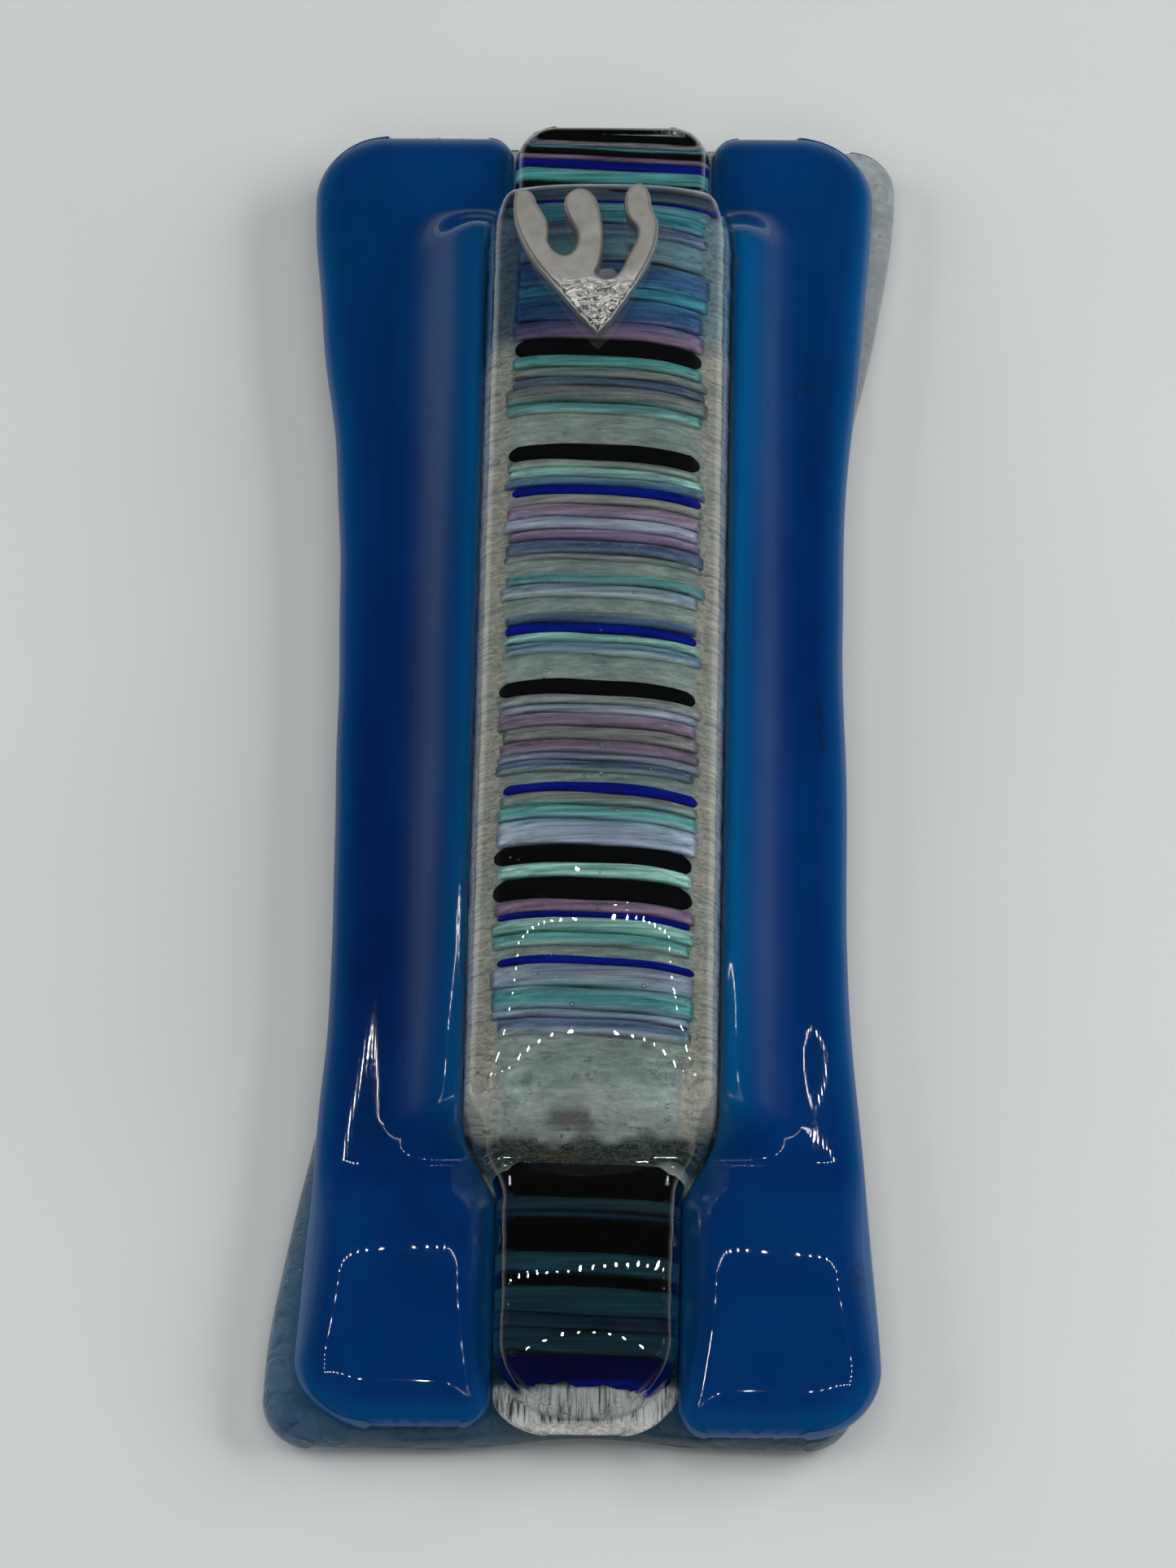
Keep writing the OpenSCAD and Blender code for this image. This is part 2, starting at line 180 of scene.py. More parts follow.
def waves(x, y, pitch, seed, count=7):
    """Smooth seeded unevenness, mostly between -1 and 1, with bumps about pitch apart."""
    rng = np.random.default_rng(seed)
    total = np.zeros(np.broadcast(x, y).shape)
    for _ in range(count):
        turn = rng.uniform(0, 2 * math.pi)
        scale = 2 * math.pi / (pitch * rng.uniform(0.7, 1.8))
        total += np.sin(scale * (x * math.cos(turn) + y * math.sin(turn)) + rng.uniform(0, 6.3))
    return total / math.sqrt(count) / 1.6


# ---------------------------------------------------------------- mesh helpers


def scene_object(name, data):
    obj = bpy.data.objects.new(name, data)
    bpy.context.scene.collection.objects.link(obj)
    return obj


def mesh_object(name, vertices, faces, smooth=True):
    mesh = bpy.data.meshes.new(name)
    mesh.from_pydata([tuple(v) for v in np.asarray(vertices) * MM], [], faces)
    mesh.validate()
    mesh.polygons.foreach_set("use_smooth", [smooth] * len(mesh.polygons))
    mesh.update()
    return scene_object(name, mesh)


def face_outward(obj):
    work = bmesh.new()
    work.from_mesh(obj.data)
    bmesh.ops.recalc_face_normals(work, faces=work.faces)
    work.to_mesh(obj.data)
    work.free()
    return obj


def set_attribute(obj, name, values):
    layer = obj.data.attributes.new(name, "FLOAT", "POINT")
    layer.data.foreach_set("value", np.asarray(values, dtype=np.float32).ravel())


def set_colour(obj, name, colours):
    layer = obj.data.attributes.new(name, "FLOAT_COLOR", "POINT")
    rgba = np.ones((len(colours), 4), dtype=np.float32)
    rgba[:, :3] = colours
    layer.data.foreach_set("color", rgba.ravel())


EDGE_SEARCH = 12  # how far along Y an outline is searched, more than any edge's radius


def edge_distance(x, y):
    """Distance of every grid point from the grid's own outline."""
    outline = np.concatenate([
        np.stack([x[0], y[0]], 1), np.stack([x[-1], y[-1]], 1),
        np.stack([x[:, 0], y[:, 0]], 1), np.stack([x[:, -1], y[:, -1]], 1),
    ])
    result = np.empty(x.shape)
    for i in range(x.shape[0]):
        near = outline[np.abs(outline[:, 1] - y[i].mean()) < EDGE_SEARCH]
        gap = np.hypot(x[i][:, None] - near[None, :, 0], y[i][:, None] - near[None, :, 1])
        result[i] = gap.min(axis=1)
    return result


def round_rim(d, width):
    """Quarter-round profile: 0 on the edge, 1 from width inwards."""
    t = clamp01(d / width)
    return np.sqrt(np.maximum(1 - (1 - t) ** 2, 0))


Edge = namedtuple("Edge", "top bottom middle")


def sheet_mesh(x, y, low, high, edge):
    """Vertices, faces and edge distances of a closed sheet with rounded edges.

    x and y are grids, low and high the heights of its two faces on them. The edge is round over
    edge.top on the upper side and edge.bottom below, and they meet at the share edge.middle.
    """
    d = edge_distance(x, y)
    top = mix(low, high, mix(edge.middle, 1.0, round_rim(d, edge.top)))
    bottom = mix(low, high, edge.middle * (1 - round_rim(d, edge.bottom)))
    rows, columns = x.shape
    upper = np.arange(rows * columns).reshape(rows, columns)
    lower = upper.copy()
    inner = np.arange((rows - 2) * (columns - 2)).reshape(rows - 2, columns - 2)
    lower[1:-1, 1:-1] = inner + rows * columns
    vertices = np.concatenate([
        np.stack([x.ravel(), y.ravel(), top.ravel()], 1),
        np.stack([x[1:-1, 1:-1].ravel(), y[1:-1, 1:-1].ravel(), bottom[1:-1, 1:-1].ravel()], 1),
    ])
    upper_faces = np.stack([upper[:-1, :-1], upper[:-1, 1:], upper[1:, 1:], upper[1:, :-1]], -1)
    lower_faces = np.stack([lower[:-1, :-1], lower[1:, :-1], lower[1:, 1:], lower[:-1, 1:]], -1)
    faces = np.concatenate([upper_faces.reshape(-1, 4), lower_faces.reshape(-1, 4)])
    both = np.concatenate([d.ravel(), d[1:-1, 1:-1].ravel()])
    return vertices, faces.tolist(), both


def spread(count, power=1.0):
    """Numbers from 0 to 1 that crowd towards both ends."""
    t = np.linspace(0, 1, count)
    return mix(t, (1 - np.cos(math.pi * t)) / 2, power)


def end_rows(low, high, step):
    """Rows along the case, crowded where the corners are round."""
    reach = CORNER_RADIUS * (1 - np.cos(np.linspace(0, math.pi / 2, 20)))
    near, far = low + reach, high - reach
    middle = np.arange(near[-1] + step, far[-1] - step / 2, step)
    return np.concatenate([near, middle, far[::-1]])


# ---------------------------------------------------------------- node helpers


class Nodes:
    """Short names for building one material's node tree."""

    def __init__(self, name):
        self.material = bpy.data.materials.new(name)
        self.material.use_nodes = True
        self.tree = self.material.node_tree
        self.tree.nodes.clear()
        self.output = self.add("ShaderNodeOutputMaterial")
        self.shader = self.add("ShaderNodeBsdfPrincipled")
        self.link(self.shader, "BSDF", self.output, "Surface")

    def add(self, kind, **settings):
        node = self.tree.nodes.new(kind)
        for key, value in settings.items():
            setattr(node, key, value)
        return node

    def link(self, source, output, target, socket):
        self.tree.links.new(source.outputs[output], target.inputs[socket])

    def set(self, **values):
        for key, value in values.items():
            self.shader.inputs[key.replace("_", " ")].default_value = value

    def colour(self, source, output=MIXED):
        self.link(source, output, self.shader, "Base Color")

    def relief(self, *bump):
        self.link(self.bump(*bump), "Normal", self.shader, "Normal")

    def place(self, scale=(1, 1, 1), turn=0.0):
        """Object coordinates in millimetres, stretched by scale."""
        coordinates = self.add("ShaderNodeTexCoord")
        mapping = self.add("ShaderNodeMapping")
        mapping.inputs["Scale"].default_value = [s / MM for s in scale]
        mapping.inputs["Rotation"].default_value = (0, 0, turn)
        self.link(coordinates, "Object", mapping, "Vector")
        return mapping

    def noise(self, where, scale, detail=3.0, roughness=0.5, distortion=0.0):
        node = self.add("ShaderNodeTexNoise")
        node.inputs["Scale"].default_value = scale
        node.inputs["Detail"].default_value = detail
        node.inputs["Roughness"].default_value = roughness
        node.inputs["Distortion"].default_value = distortion
        self.link(where, "Vector", node, "Vector")
        return node

    def voronoi(self, where, scale):
        node = self.add("ShaderNodeTexVoronoi")
        node.inputs["Scale"].default_value = scale
        self.link(where, "Vector", node, "Vector")
        return node

    def attribute(self, name):
        return self.add("ShaderNodeAttribute", attribute_name=name)

    def ramp(self, source, output, stops):
        node = self.add("ShaderNodeValToRGB")
        elements = node.color_ramp.elements
        while len(elements) < len(stops):
            elements.new(0.5)
        for element, (position, color) in zip(elements, stops):
            element.position = position
            element.color = (*color, 1) if len(color) == 3 else color
        self.link(source, output, node, "Fac")
        return node

    def level(self, source, output, low, high, out_low=0.0, out_high=1.0):
        """A number remapped smoothly from one range to another."""
        node = self.add("ShaderNodeMapRange", interpolation_type="SMOOTHSTEP")
        node.inputs["From Min"].default_value = low
        node.inputs["From Max"].default_value = high
        node.inputs["To Min"].default_value = out_low
        node.inputs["To Max"].default_value = out_high
        self.link(source, output, node, "Value")
        return node

    def math(self, operation, a, b=None):
        """A Math node. Each input is a number or a (node, output) pair."""
        node = self.add("ShaderNodeMath", operation=operation)
        for socket, value in zip(node.inputs, (a, b)):
            if isinstance(value, tuple):
                self.tree.links.new(value[0].outputs[value[1]], socket)
            elif value is not None:
                socket.default_value = value
        return node

    def blend(self, factor, a, b, mode="MIX"):
        """A colour mix. factor, a and b are constants or (node, output) pairs."""
        node = self.add("ShaderNodeMix", data_type="RGBA", blend_type=mode)
        for socket, value in ((MIX_FACTOR, factor), (MIX_A, a), (MIX_B, b)):
            if isinstance(value, tuple) and hasattr(value[0], "outputs"):
                self.tree.links.new(value[0].outputs[value[1]], node.inputs[socket])
            elif socket == MIX_FACTOR:
                node.inputs[socket].default_value = value
            else:
                node.inputs[socket].default_value = (*value, 1)
        return node

    def bump(self, source, output, strength, distance, under=None):
        node = self.add("ShaderNodeBump")
        node.inputs["Strength"].default_value = strength
        node.inputs["Distance"].default_value = distance * MM
        self.link(source, output, node, "Height")
        if under is not None:
            self.link(under, "Normal", node, "Normal")
        return node


def dress(obj, material, slot, body, *nodes):
    """Gives a piece its material and body, and hides the CAD nodes it stands for. Its slot is not used.
    """
    obj.data.materials.clear()
    obj.data.materials.append(material)
    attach(obj, body)
    if nodes:
        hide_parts(*nodes)


# ---------------------------------------------------------------- materials


def blue_material():
    m = Nodes("blue_opal_glass")
    m.set(Roughness=0.035, IOR=1.5)
    wide = m.noise(m.place((1, 0.45, 1)), 0.07, detail=4, roughness=0.6, distortion=0.6)
    body = m.ramp(wide, "Fac", [(0.3, (0.0002, 0.012, 0.078)), (0.5, (0.0003, 0.019, 0.105)),
                                (0.75, (0.0004, 0.030, 0.138))])
    # Lighter blue where the wings carry painted sheen and painted light: along their rims, beside the
    # strip and on the upper flats.
    sheen_and_tone = m.attribute("painted_sheen_and_tone")
    lighter = m.blend((sheen_and_tone, "Fac"), (body, "Color"), (0.0008, 0.072, 0.21))
    spots = m.noise(m.place((1, 0.5, 1)), 0.16, detail=6, roughness=0.7, distortion=1.2)
    dark = m.level(spots, "Fac", 0.62, 0.76)
    stained = m.blend((dark, "Result"), (lighter, MIXED), (0.006, 0.012, 0.022))
    m.colour(stained)
    ripple = m.noise(m.place(), 0.35, detail=2)
    m.relief(ripple, "Fac", 0.2, 0.05)
    return m.material


def cap_material():
    """Clear glass, with a coat that keeps the reflections of small lamps bright."""
    m = Nodes("clear_cap_glass")
    m.set(Base_Color=(0.97, 0.99, 0.99, 1), Roughness=0.0, IOR=1.5, Transmission_Weight=1.0)
    m.set(Coat_Weight=1.0, Coat_Roughness=0.0, Coat_IOR=1.7)
    ripple = m.noise(m.place(), 0.5, detail=2)
    m.relief(ripple, "Fac", 0.5, 0.03)
    return m.material


def base_material():
    m = Nodes("clear_base_glass")
    m.set(Roughness=0.02, IOR=1.5, Transmission_Weight=0.9)
    swirl = m.noise(m.place(), 0.35, detail=5, roughness=0.65, distortion=2.5)
    veil = m.ramp(swirl, "Fac", [(0.35, (0.7, 0.75, 0.8)), (0.6, (1.0, 1.0, 1.0))])
    # Multiplied by a painted blue shade towards the base's lower end.
    tinted = m.blend(1.0, (m.attribute("tint"), "Color"), (veil, "Color"), "MULTIPLY")
    m.colour(tinted)
    crinkle = m.level(swirl, "Fac", 0.35, 0.65)
    m.relief(crinkle, "Result", 0.6, 0.35)
    return m.material


def silver_material():
    """Crinkled silver foil in glass, tinted by its colour attribute."""
    m = Nodes("silver_coated_glass")
    m.set(Metallic=0.35, Roughness=0.3, Specular_IOR_Level=0.2)
    tint = m.attribute("tint")
    streak = m.noise(m.place((0.4, 1.7, 1)), 1.1, detail=6, roughness=0.72, distortion=0.3)
    shade = m.ramp(streak, "Fac", [(0.3, (0.55, 0.58, 0.58)), (0.5, (1.0, 1.0, 0.98)),
                                   (0.7, (1.6, 1.55, 1.5))])
    body = m.blend(1.0, (tint, "Color"), (shade, "Color"), "MULTIPLY")
    wrinkle = m.noise(m.place((1.3, 2.6, 1), turn=-0.2), 1.1, detail=6, roughness=0.8,
                      distortion=0.5)
    folds = m.ramp(wrinkle, "Fac", [(0.36, (0.4, 0.42, 0.45)), (0.5, (0.95, 0.95, 0.93)),
                                    (0.62, (1.35, 1.33, 1.26))])
    crinkled = m.attribute("crinkled")
    folded = m.blend((crinkled, "Fac"), (body, MIXED),
                     (m.blend(1.0, (tint, "Color"), (folds, "Color"), "MULTIPLY"), MIXED))
    cells = m.noise(m.place((1, 1.5, 1)), 0.75, detail=6, roughness=0.75, distortion=1.4)
    line = m.math("ABSOLUTE", (m.math("SUBTRACT", (cells, "Fac"), 0.5), "Value"))
    crack = m.level(line, "Value", 0.0, 0.016, 1.0, 0.0)
    crazed = m.attribute("crazed")
    cracks = m.math("MULTIPLY", (crack, "Result"), (crazed, "Fac"))
    lined = m.blend((cracks, "Value"), (folded, MIXED), (0.55, 0.58, 0.48))
    spots = m.noise(m.place((0.8, 1.6, 1)), 0.8, detail=6, roughness=0.8, distortion=0.8)
    speck = m.math("MULTIPLY", (m.level(spots, "Fac", 0.56, 0.62), "Result"), (crazed, "Fac"))
    lined = m.blend((speck, "Value"), (lined, MIXED), (0.03, 0.04, 0.07))
    # Painted highlights: bright streaks with dark gaps at the silver's lower end, standing for light
    # gathered by the cap's rounded end.
    glint_streaks = m.noise(m.place((2.8, 0.22, 1)), 1.0, detail=5, roughness=0.7, distortion=0.4)
    glint_streak_colour = m.ramp(glint_streaks, "Fac", [(0.40, (0.05, 0.07, 0.08)), (0.5, (0.8, 0.86, 0.82)),
                                     (0.56, (1.0, 1.0, 0.96))])
    glint_streaked = m.blend((m.attribute("end"), "Fac"), (lined, MIXED), (glint_streak_colour, "Color"))
    # Multiplied by painted shade on the strip's upper end and by the lower tab's own darkness.
    shaded = m.blend(1.0, (glint_streaked, MIXED), (m.attribute("dark_tab_and_painted_shade"), "Color"), "MULTIPLY")
    m.colour(shaded)
    first = m.bump(wrinkle, "Fac", 0.9, 0.4)
    fine = m.noise(m.place(), 2.6, detail=4, roughness=0.7)
    m.relief(fine, "Fac", 0.6, 0.12, first)
    return m.material


def bar_material(name):
    """Streaked glass whose colour runs into its neighbours', flecked with silver."""
    m = Nodes(name)
    m.set(Metallic=0.15, Roughness=0.3, Specular_IOR_Level=0.1)
    tint = m.attribute("tint")
    streak = m.noise(m.place((0.10, 2.4, 1)), 1.0, detail=6, roughness=0.68, distortion=0.3)
    shade = m.ramp(streak, "Fac", [(0.32, (0.4, 0.42, 0.44)), (0.5, (1.05, 1.05, 1.05)),
                                   (0.68, (1.8, 1.75, 1.7))])
    body = m.blend(1.0, (tint, "Color"), (shade, "Color"), "MULTIPLY")
    fleck = m.noise(m.place((0.8, 3.0, 1)), 2.0, detail=4, roughness=0.85)
    worn = m.level(fleck, "Fac", 0.58, 0.72, 0.0, 0.6)
    silvered = m.blend((worn, "Result"), (body, MIXED), (0.60, 0.70, 0.67))
    pit = m.level(m.noise(m.place(), 1.7, detail=3, roughness=0.8), "Fac", 0.70, 0.76, 0.0, 0.7)
    pitted = m.blend((pit, "Result"), (silvered, MIXED), (0.02, 0.03, 0.035))
    # Multiplied by painted shade on the strip's upper end and by the lower tab's own darkness.
    shaded = m.blend(1.0, (pitted, MIXED), (m.attribute("dark_tab_and_painted_shade"), "Color"), "MULTIPLY")
    m.colour(shaded)
    grain = m.noise(m.place((0.8, 2.2, 1)), 2.4, detail=4, roughness=0.7)
    m.relief(grain, "Fac", 0.5, 0.10)
    return m.material


def smooth_bar_material(name, deep, light):
    """Dense glass of one colour with crisp edges and only a faint streak."""
    m = Nodes(name)
    m.set(Roughness=0.4, Specular_IOR_Level=0.0)
    streak = m.noise(m.place((0.12, 1.6, 1)), 0.9, detail=3, roughness=0.5)
    body = m.ramp(streak, "Fac", [(0.35, deep), (0.65, light)])
    # Multiplied by painted shade on the strip's upper end and by the lower tab's own darkness.
    shaded = m.blend(1.0, (body, "Color"), (m.attribute("dark_tab_and_painted_shade"), "Color"), "MULTIPLY")
    m.colour(shaded)
    m.relief(streak, "Fac", 0.2, 0.05)
    return m.material


SILVER = (0.58, 0.70, 0.65)
DULL_SILVER = (0.38, 0.52, 0.50)
CREAM = (0.78, 0.74, 0.62)
SOFT_GLASS = {
    "teal": (0.09, 0.36, 0.36),
    "seafoam": (0.28, 0.54, 0.47),
    "mauve": (0.22, 0.145, 0.23),
    "slate": (0.06, 0.12, 0.22),
    "taupe": (0.22, 0.25, 0.23),
    "lavender": (0.31, 0.38, 0.48),
}
DENSE_GLASS = {
    "black": ((0.0008, 0.001, 0.0015), (0.002, 0.003, 0.004)),
    "cobalt": ((0.0005, 0.006, 0.20), (0.001, 0.016, 0.34)),
}


def pewter_material():
    m = Nodes("cast_pewter")
    m.set(Metallic=1.0)
    worn = m.attribute("worn")
    cloud = m.noise(m.place(), 0.8, detail=4)
    body = m.ramp(cloud, "Fac", [(0.3, (0.44, 0.43, 0.40)), (0.7, (0.58, 0.57, 0.53))])
    bright = m.blend((worn, "Fac"), (body, "Color"), (0.72, 0.72, 0.70))
    m.colour(bright)
    rough = m.level(worn, "Fac", 0.0, 1.0, 0.46, 0.24)
    m.link(rough, "Result", m.shader, "Roughness")
    grain = m.noise(m.place(), 5.0, detail=4, roughness=0.7)
    m.relief(grain, "Fac", 0.35, 0.05)
    return m.material


def glue_material():
    m = Nodes("clear_glue")
    m.set(Base_Color=(0.9, 0.9, 0.86, 1), Roughness=0.15, IOR=1.45, Transmission_Weight=0.8)
    lump = m.noise(m.place(), 1.2, detail=3)
    m.relief(lump, "Fac", 0.4, 0.1)
    return m.material


def parchment_material():
    m = Nodes("parchment")
    m.set(Roughness=0.72, Subsurface_Weight=0.08, Subsurface_Radius=(0.0006, 0.0004, 0.0002))
    cloud = m.noise(m.place((1, 0.5, 1)), 0.3, detail=6, roughness=0.6)
    body = m.ramp(cloud, "Fac", [(0.3, (0.52, 0.42, 0.25)), (0.5, (0.68, 0.58, 0.40)),
                                 (0.75, (0.78, 0.70, 0.54))])
    pores = m.noise(m.place(), 3.2, detail=3, roughness=0.8)
    speck = m.level(pores, "Fac", 0.66, 0.74)
    dotted = m.blend((speck, "Result"), (body, "Color"), (0.42, 0.31, 0.17))
    m.colour(dotted)
    m.relief(pores, "Fac", 0.4, 0.08)
    return m.material


def sleeve_material():
    m = Nodes("clear_sleeve")
    m.set(Base_Color=(0.97, 0.98, 1.0, 1), Roughness=0.08, IOR=1.3, Transmission_Weight=1.0)
    crease = m.noise(m.place((1, 0.15, 1)), 0.9, detail=2)
    m.relief(crease, "Fac", 0.3, 0.08)
    return m.material


def foam_material():
    m = Nodes("foam_tape")
    m.set(Roughness=0.85)
    cells = m.voronoi(m.place(), 3.0)
    body = m.ramp(cells, "Distance", [(0.0, (0.50, 0.50, 0.48)), (0.6, (0.66, 0.66, 0.64))])
    m.colour(body, "Color")
    m.relief(cells, "Distance", 0.5, 0.08)
    return m.material


def floor_material():
    m = Nodes("studio_floor")
    m.set(Roughness=0.9, Specular_IOR_Level=0.15)
    grain = m.noise(m.place(), 0.02, detail=2)
    body = m.ramp(grain, "Fac", [(0.3, (0.60, 0.625, 0.62)), (0.7, (0.62, 0.645, 0.64))])
    m.colour(body, "Color")
    return m.material


# ---------------------------------------------------------------- glass sheets


def base_sheet():
    low, high = BASE_ENDS
    rows = end_rows(low, high, 0.55)[:, None]
    from_end = np.minimum(rows - low, high - rows)
    pull = corner(from_end, BASE_CORNER)
    wobble = 0.18 * waves(0 * rows, rows, 15, 3)
    reach = half_width(rows) + mix(-1.6, 0.3, ease((np.abs(rows) - 25) / 38))
    left = -reach + BASE_LEAN * rows + pull + wobble
    right = reach + BASE_LEAN * rows - pull + wobble
    x = mix(left, right, spread(121, 0.75)[None, :])
    lobe = 1.1 * np.exp(-(((x - 0.5) / 8) ** 2))
    y = rows - ROW_SLANT * x + clamp01((low + 12 - rows) / 12) * lobe
    top = height(x, y, BASE) + FUSED
    bottom = height(x, y, BACK) + 0.05 * waves(x, y, 9, 5)
    return sheet_mesh(x, y, bottom, top, Edge(1.3, 0.9, 0.5))


def blue_outer(y, side):
    return half_width(y) + side * (y / 240 + 0.25) + 0.2


def blue_top(x, y, side, inner, outer, low):
    """Top of a blue wing: the formed surface, with a pillow on its lower flat."""
    across = clamp01((side * x - inner) / (outer - inner))
    pillow = PILLOW_HEIGHT * (1 - np.abs(2 * across - 1) ** 3) * swell(y, low, PILLOW_END, 1.3)
    return height(x, y, BLUE) + pillow + 0.05 * waves(x, y, 14, 11 + side)


def blue_sheet(side, low, high):
    rows = end_rows(low, high, 0.5)[:, None]
    from_end = np.minimum(rows - low, high - rows)
    wobble = 0.15 * waves(0 * rows, rows, 17, 21 + side)
    outer = blue_outer(rows, side) - corner(from_end, CORNER_RADIUS) + wobble
    inner = side * strip_axis(rows) + strip_half(rows) - 0.05 + corner(from_end, INNER_CORNER)
    x = side * mix(inner, outer, spread(61, 0.8)[None, :])
    y = rows - ROW_SLANT * x
    if side < 0:
        x, y = x[:, ::-1], y[:, ::-1]
    inner_full = side * strip_axis(rows) + strip_half(rows)
    top = blue_top(x, y, side, inner_full, blue_outer(rows, side), low)
    bottom = height(x, y, BASE)
    vertices, faces, d = sheet_mesh(x, y, bottom, top, Edge(4.0, 0.7, 0.35))
    px, py = vertices[:, 0], vertices[:, 1]
    # Painted light on the blue: a painted sheen along the rounded rim and past the lower pillow,
    # painted light beside the strip on the hump's flank (stronger on the right wing than the left), and
    # a lighter tone on the upper flats.
    beside_strip = ease(1 - (side * px - side * strip_axis(py) - strip_half(py)) / 5.5)
    beside_strip *= (0.45 if side < 0 else 0.8) * run(py, BLUE)
    flats = 0.22 * ease((py - 10) / 40) + 0.10 * ease((PILLOW_END - py) / 4)
    return vertices, faces, clamp01(0.5 * ease(1 - d / 2.6) + beside_strip + flats)


def strip_grid(low, high, radii, margin, columns, edge_wobble, seed):
    """Rows and columns of a sheet of the centre strip, with radii at its lower and upper end."""
    rows = end_rows(low, high, 0.45)[:, None]
    from_end = np.minimum(rows - low, high - rows)
    reach = margin(rows) - np.where(rows < 0, *(corner(from_end, radius) for radius in radii))
    left = -reach + edge_wobble * waves(0 * rows, rows, 2.6, seed)
    right = reach + edge_wobble * waves(0 * rows, rows, 2.6, seed + 1)
    x = strip_axis(rows) + mix(left, right, spread(columns, 0.7)[None, :])
    return x, rows - ROW_SLANT * x


def smudge(x, y, centre, size):
    """A soft round mark, 1 in its middle."""
    return np.exp(-(((x - centre[0]) / size[0]) ** 2) - ((y - centre[1]) / size[1]) ** 2)


def paint(colours, colour, share):
    """Moves points' colours towards one colour, by each point's share."""
    return mix(colours, np.array(colour), share[:, None])


def dark_tab_and_painted_shade(px, py):
    """Darkens the strip's lower tab, where no silver lies behind it, and paints shade on its upper end:
    darker and bluer there, and navy on its left half beside the letter.
    """
    tab = band(py, -65.6, -44.7, 0.8, 1.5)
    # Painted shade: the upper end darker and bluer, darkest on its left half.
    upper = band(py, 39.0, 63.0, 3.0, 2.0)
    left = upper * ease((0.5 - px) / 7.0)
    colour = paint(np.ones((len(px), 3)), (0.5, 0.75, 0.95), upper)
    colour = paint(colour, (0.08, 0.2, 0.42), 0.85 * left)
    return paint(colour, (0.02, 0.09, 0.13), tab)


def beyond_bars(px, py):
    """Distance of points outwards from the ends of the bars, negative on the bars."""
    return np.abs(px - strip_axis(py)) - bars_half(py)


def silver_tint(px, py):
    """Colour of the silver sheet: cream margins, a stained lower face and a painted highlight at its
    lower end.
    """
    cloud = 0.5 + 0.5 * waves(px, py * 1.6, 6, 37)
    margin = ease((beyond_bars(px, py) + 0.3) / 0.6)
    uneven = 0.5 * waves(px, py, 4, 39)
    face = band(py, -43.9 - uneven, -40.3 + uneven, 0.4, 0.4)
    stain = smudge(px, py, (-2.6, -42.1), (2.2, 0.8))
    brow = smudge(px, py, (-2.8, -39.6), (2.6, 0.5)) + smudge(px, py, (2.4, -40.0), (1.8, 0.4))
    colour = paint(np.array(SILVER), DULL_SILVER, cloud)
    colour = paint(colour, CREAM, margin * (1 - 0.5 * cloud))
    colour = paint(colour, (0.015, 0.05, 0.055), 0.95 * face)
    colour = paint(colour, (0.13, 0.08, 0.035), 0.9 * stain)
    colour = paint(colour, (0.01, 0.015, 0.03), ease((brow + uneven - 0.45) / 0.25))
    # Painted highlight: the silver brightened past its lower end.
    return paint(colour, (0.8, 0.8, 0.76), ease((-66.2 - py) / 0.8))


def silver_marks(px, py):
    """Where the silver sheet is crazed or crinkled, and where painted streaks of light run to its end.
    """
    near_face = mix(0.45, 1.0, ease((-38.5 - py) / 2.0))
    margin = ease((beyond_bars(px, py) + 0.6) / 0.8)
    return {
        "crazed": band(py, -44.8, -33.5, 1.0, 2.0) * near_face,
        "crinkled": np.maximum(margin, ease((-66.0 - py) / 1.0)),
        # Where the painted streaks of light lie, at the lower end.
        "end": band(py, -69.0, -64.4, 0.4, 1.0),
    }


def silver_sheet():
    x, y = strip_grid(*SILVER_ENDS, (5.0, 2.0), strip_half, 121, 0.16, 31)
    low = height(x, y, BASE)
    high = strip_height(x, y, SILVER_SHARE)
    vertices, faces, _ = sheet_mesh(x, y, low, high, Edge(0.5, 0.3, 0.4))
    return vertices, faces


NOSE_RUN = 12.0  # length along which the cap's lower end is rounded


def cap_margin(y):
    return strip_half(y) - 0.15


def bubble(centre, radius):
    """A small round void, with its faces towards its inside."""
    rings, sides = 8, 12
    vertices = [(0, 0, radius)]
    for i in range(1, rings):
        a = math.pi * i / rings
        for k in range(sides):
            b = 2 * math.pi * k / sides
            vertices.append((radius * math.sin(a) * math.cos(b), radius * math.sin(a) * math.sin(b),
                             radius * math.cos(a)))
    vertices.append((0, 0, -radius))
    faces = []
    last = len(vertices) - 1
    for k in range(sides):
        after = (k + 1) % sides
        faces.append((0, 1 + after, 1 + k))
        faces.append((last, last - sides + k, last - sides + after))
        for i in range(rings - 2):
            a, b = 1 + i * sides, 1 + (i + 1) * sides
            faces.append((a + k, a + after, b + after, b + k))
    return np.array(vertices) + centre, faces


BUBBLE_COUNT = 34


def bubbles():
    """Seeded bubbles just above the bars, crowded towards the lower brow."""
    rng = np.random.default_rng(45)
    for _ in range(BUBBLE_COUNT):
        y = -39.3 + 90 * rng.uniform(0, 1) ** 3
        x = float(strip_axis(y)) + rng.uniform(-0.9, 0.9) * float(bars_half(y))
        radius = rng.uniform(0.09, 0.24)
        z = float(strip_height(np.array(x), np.array(y), BARS_SHARE)) + radius + 0.1
        yield (x, y, z), radius


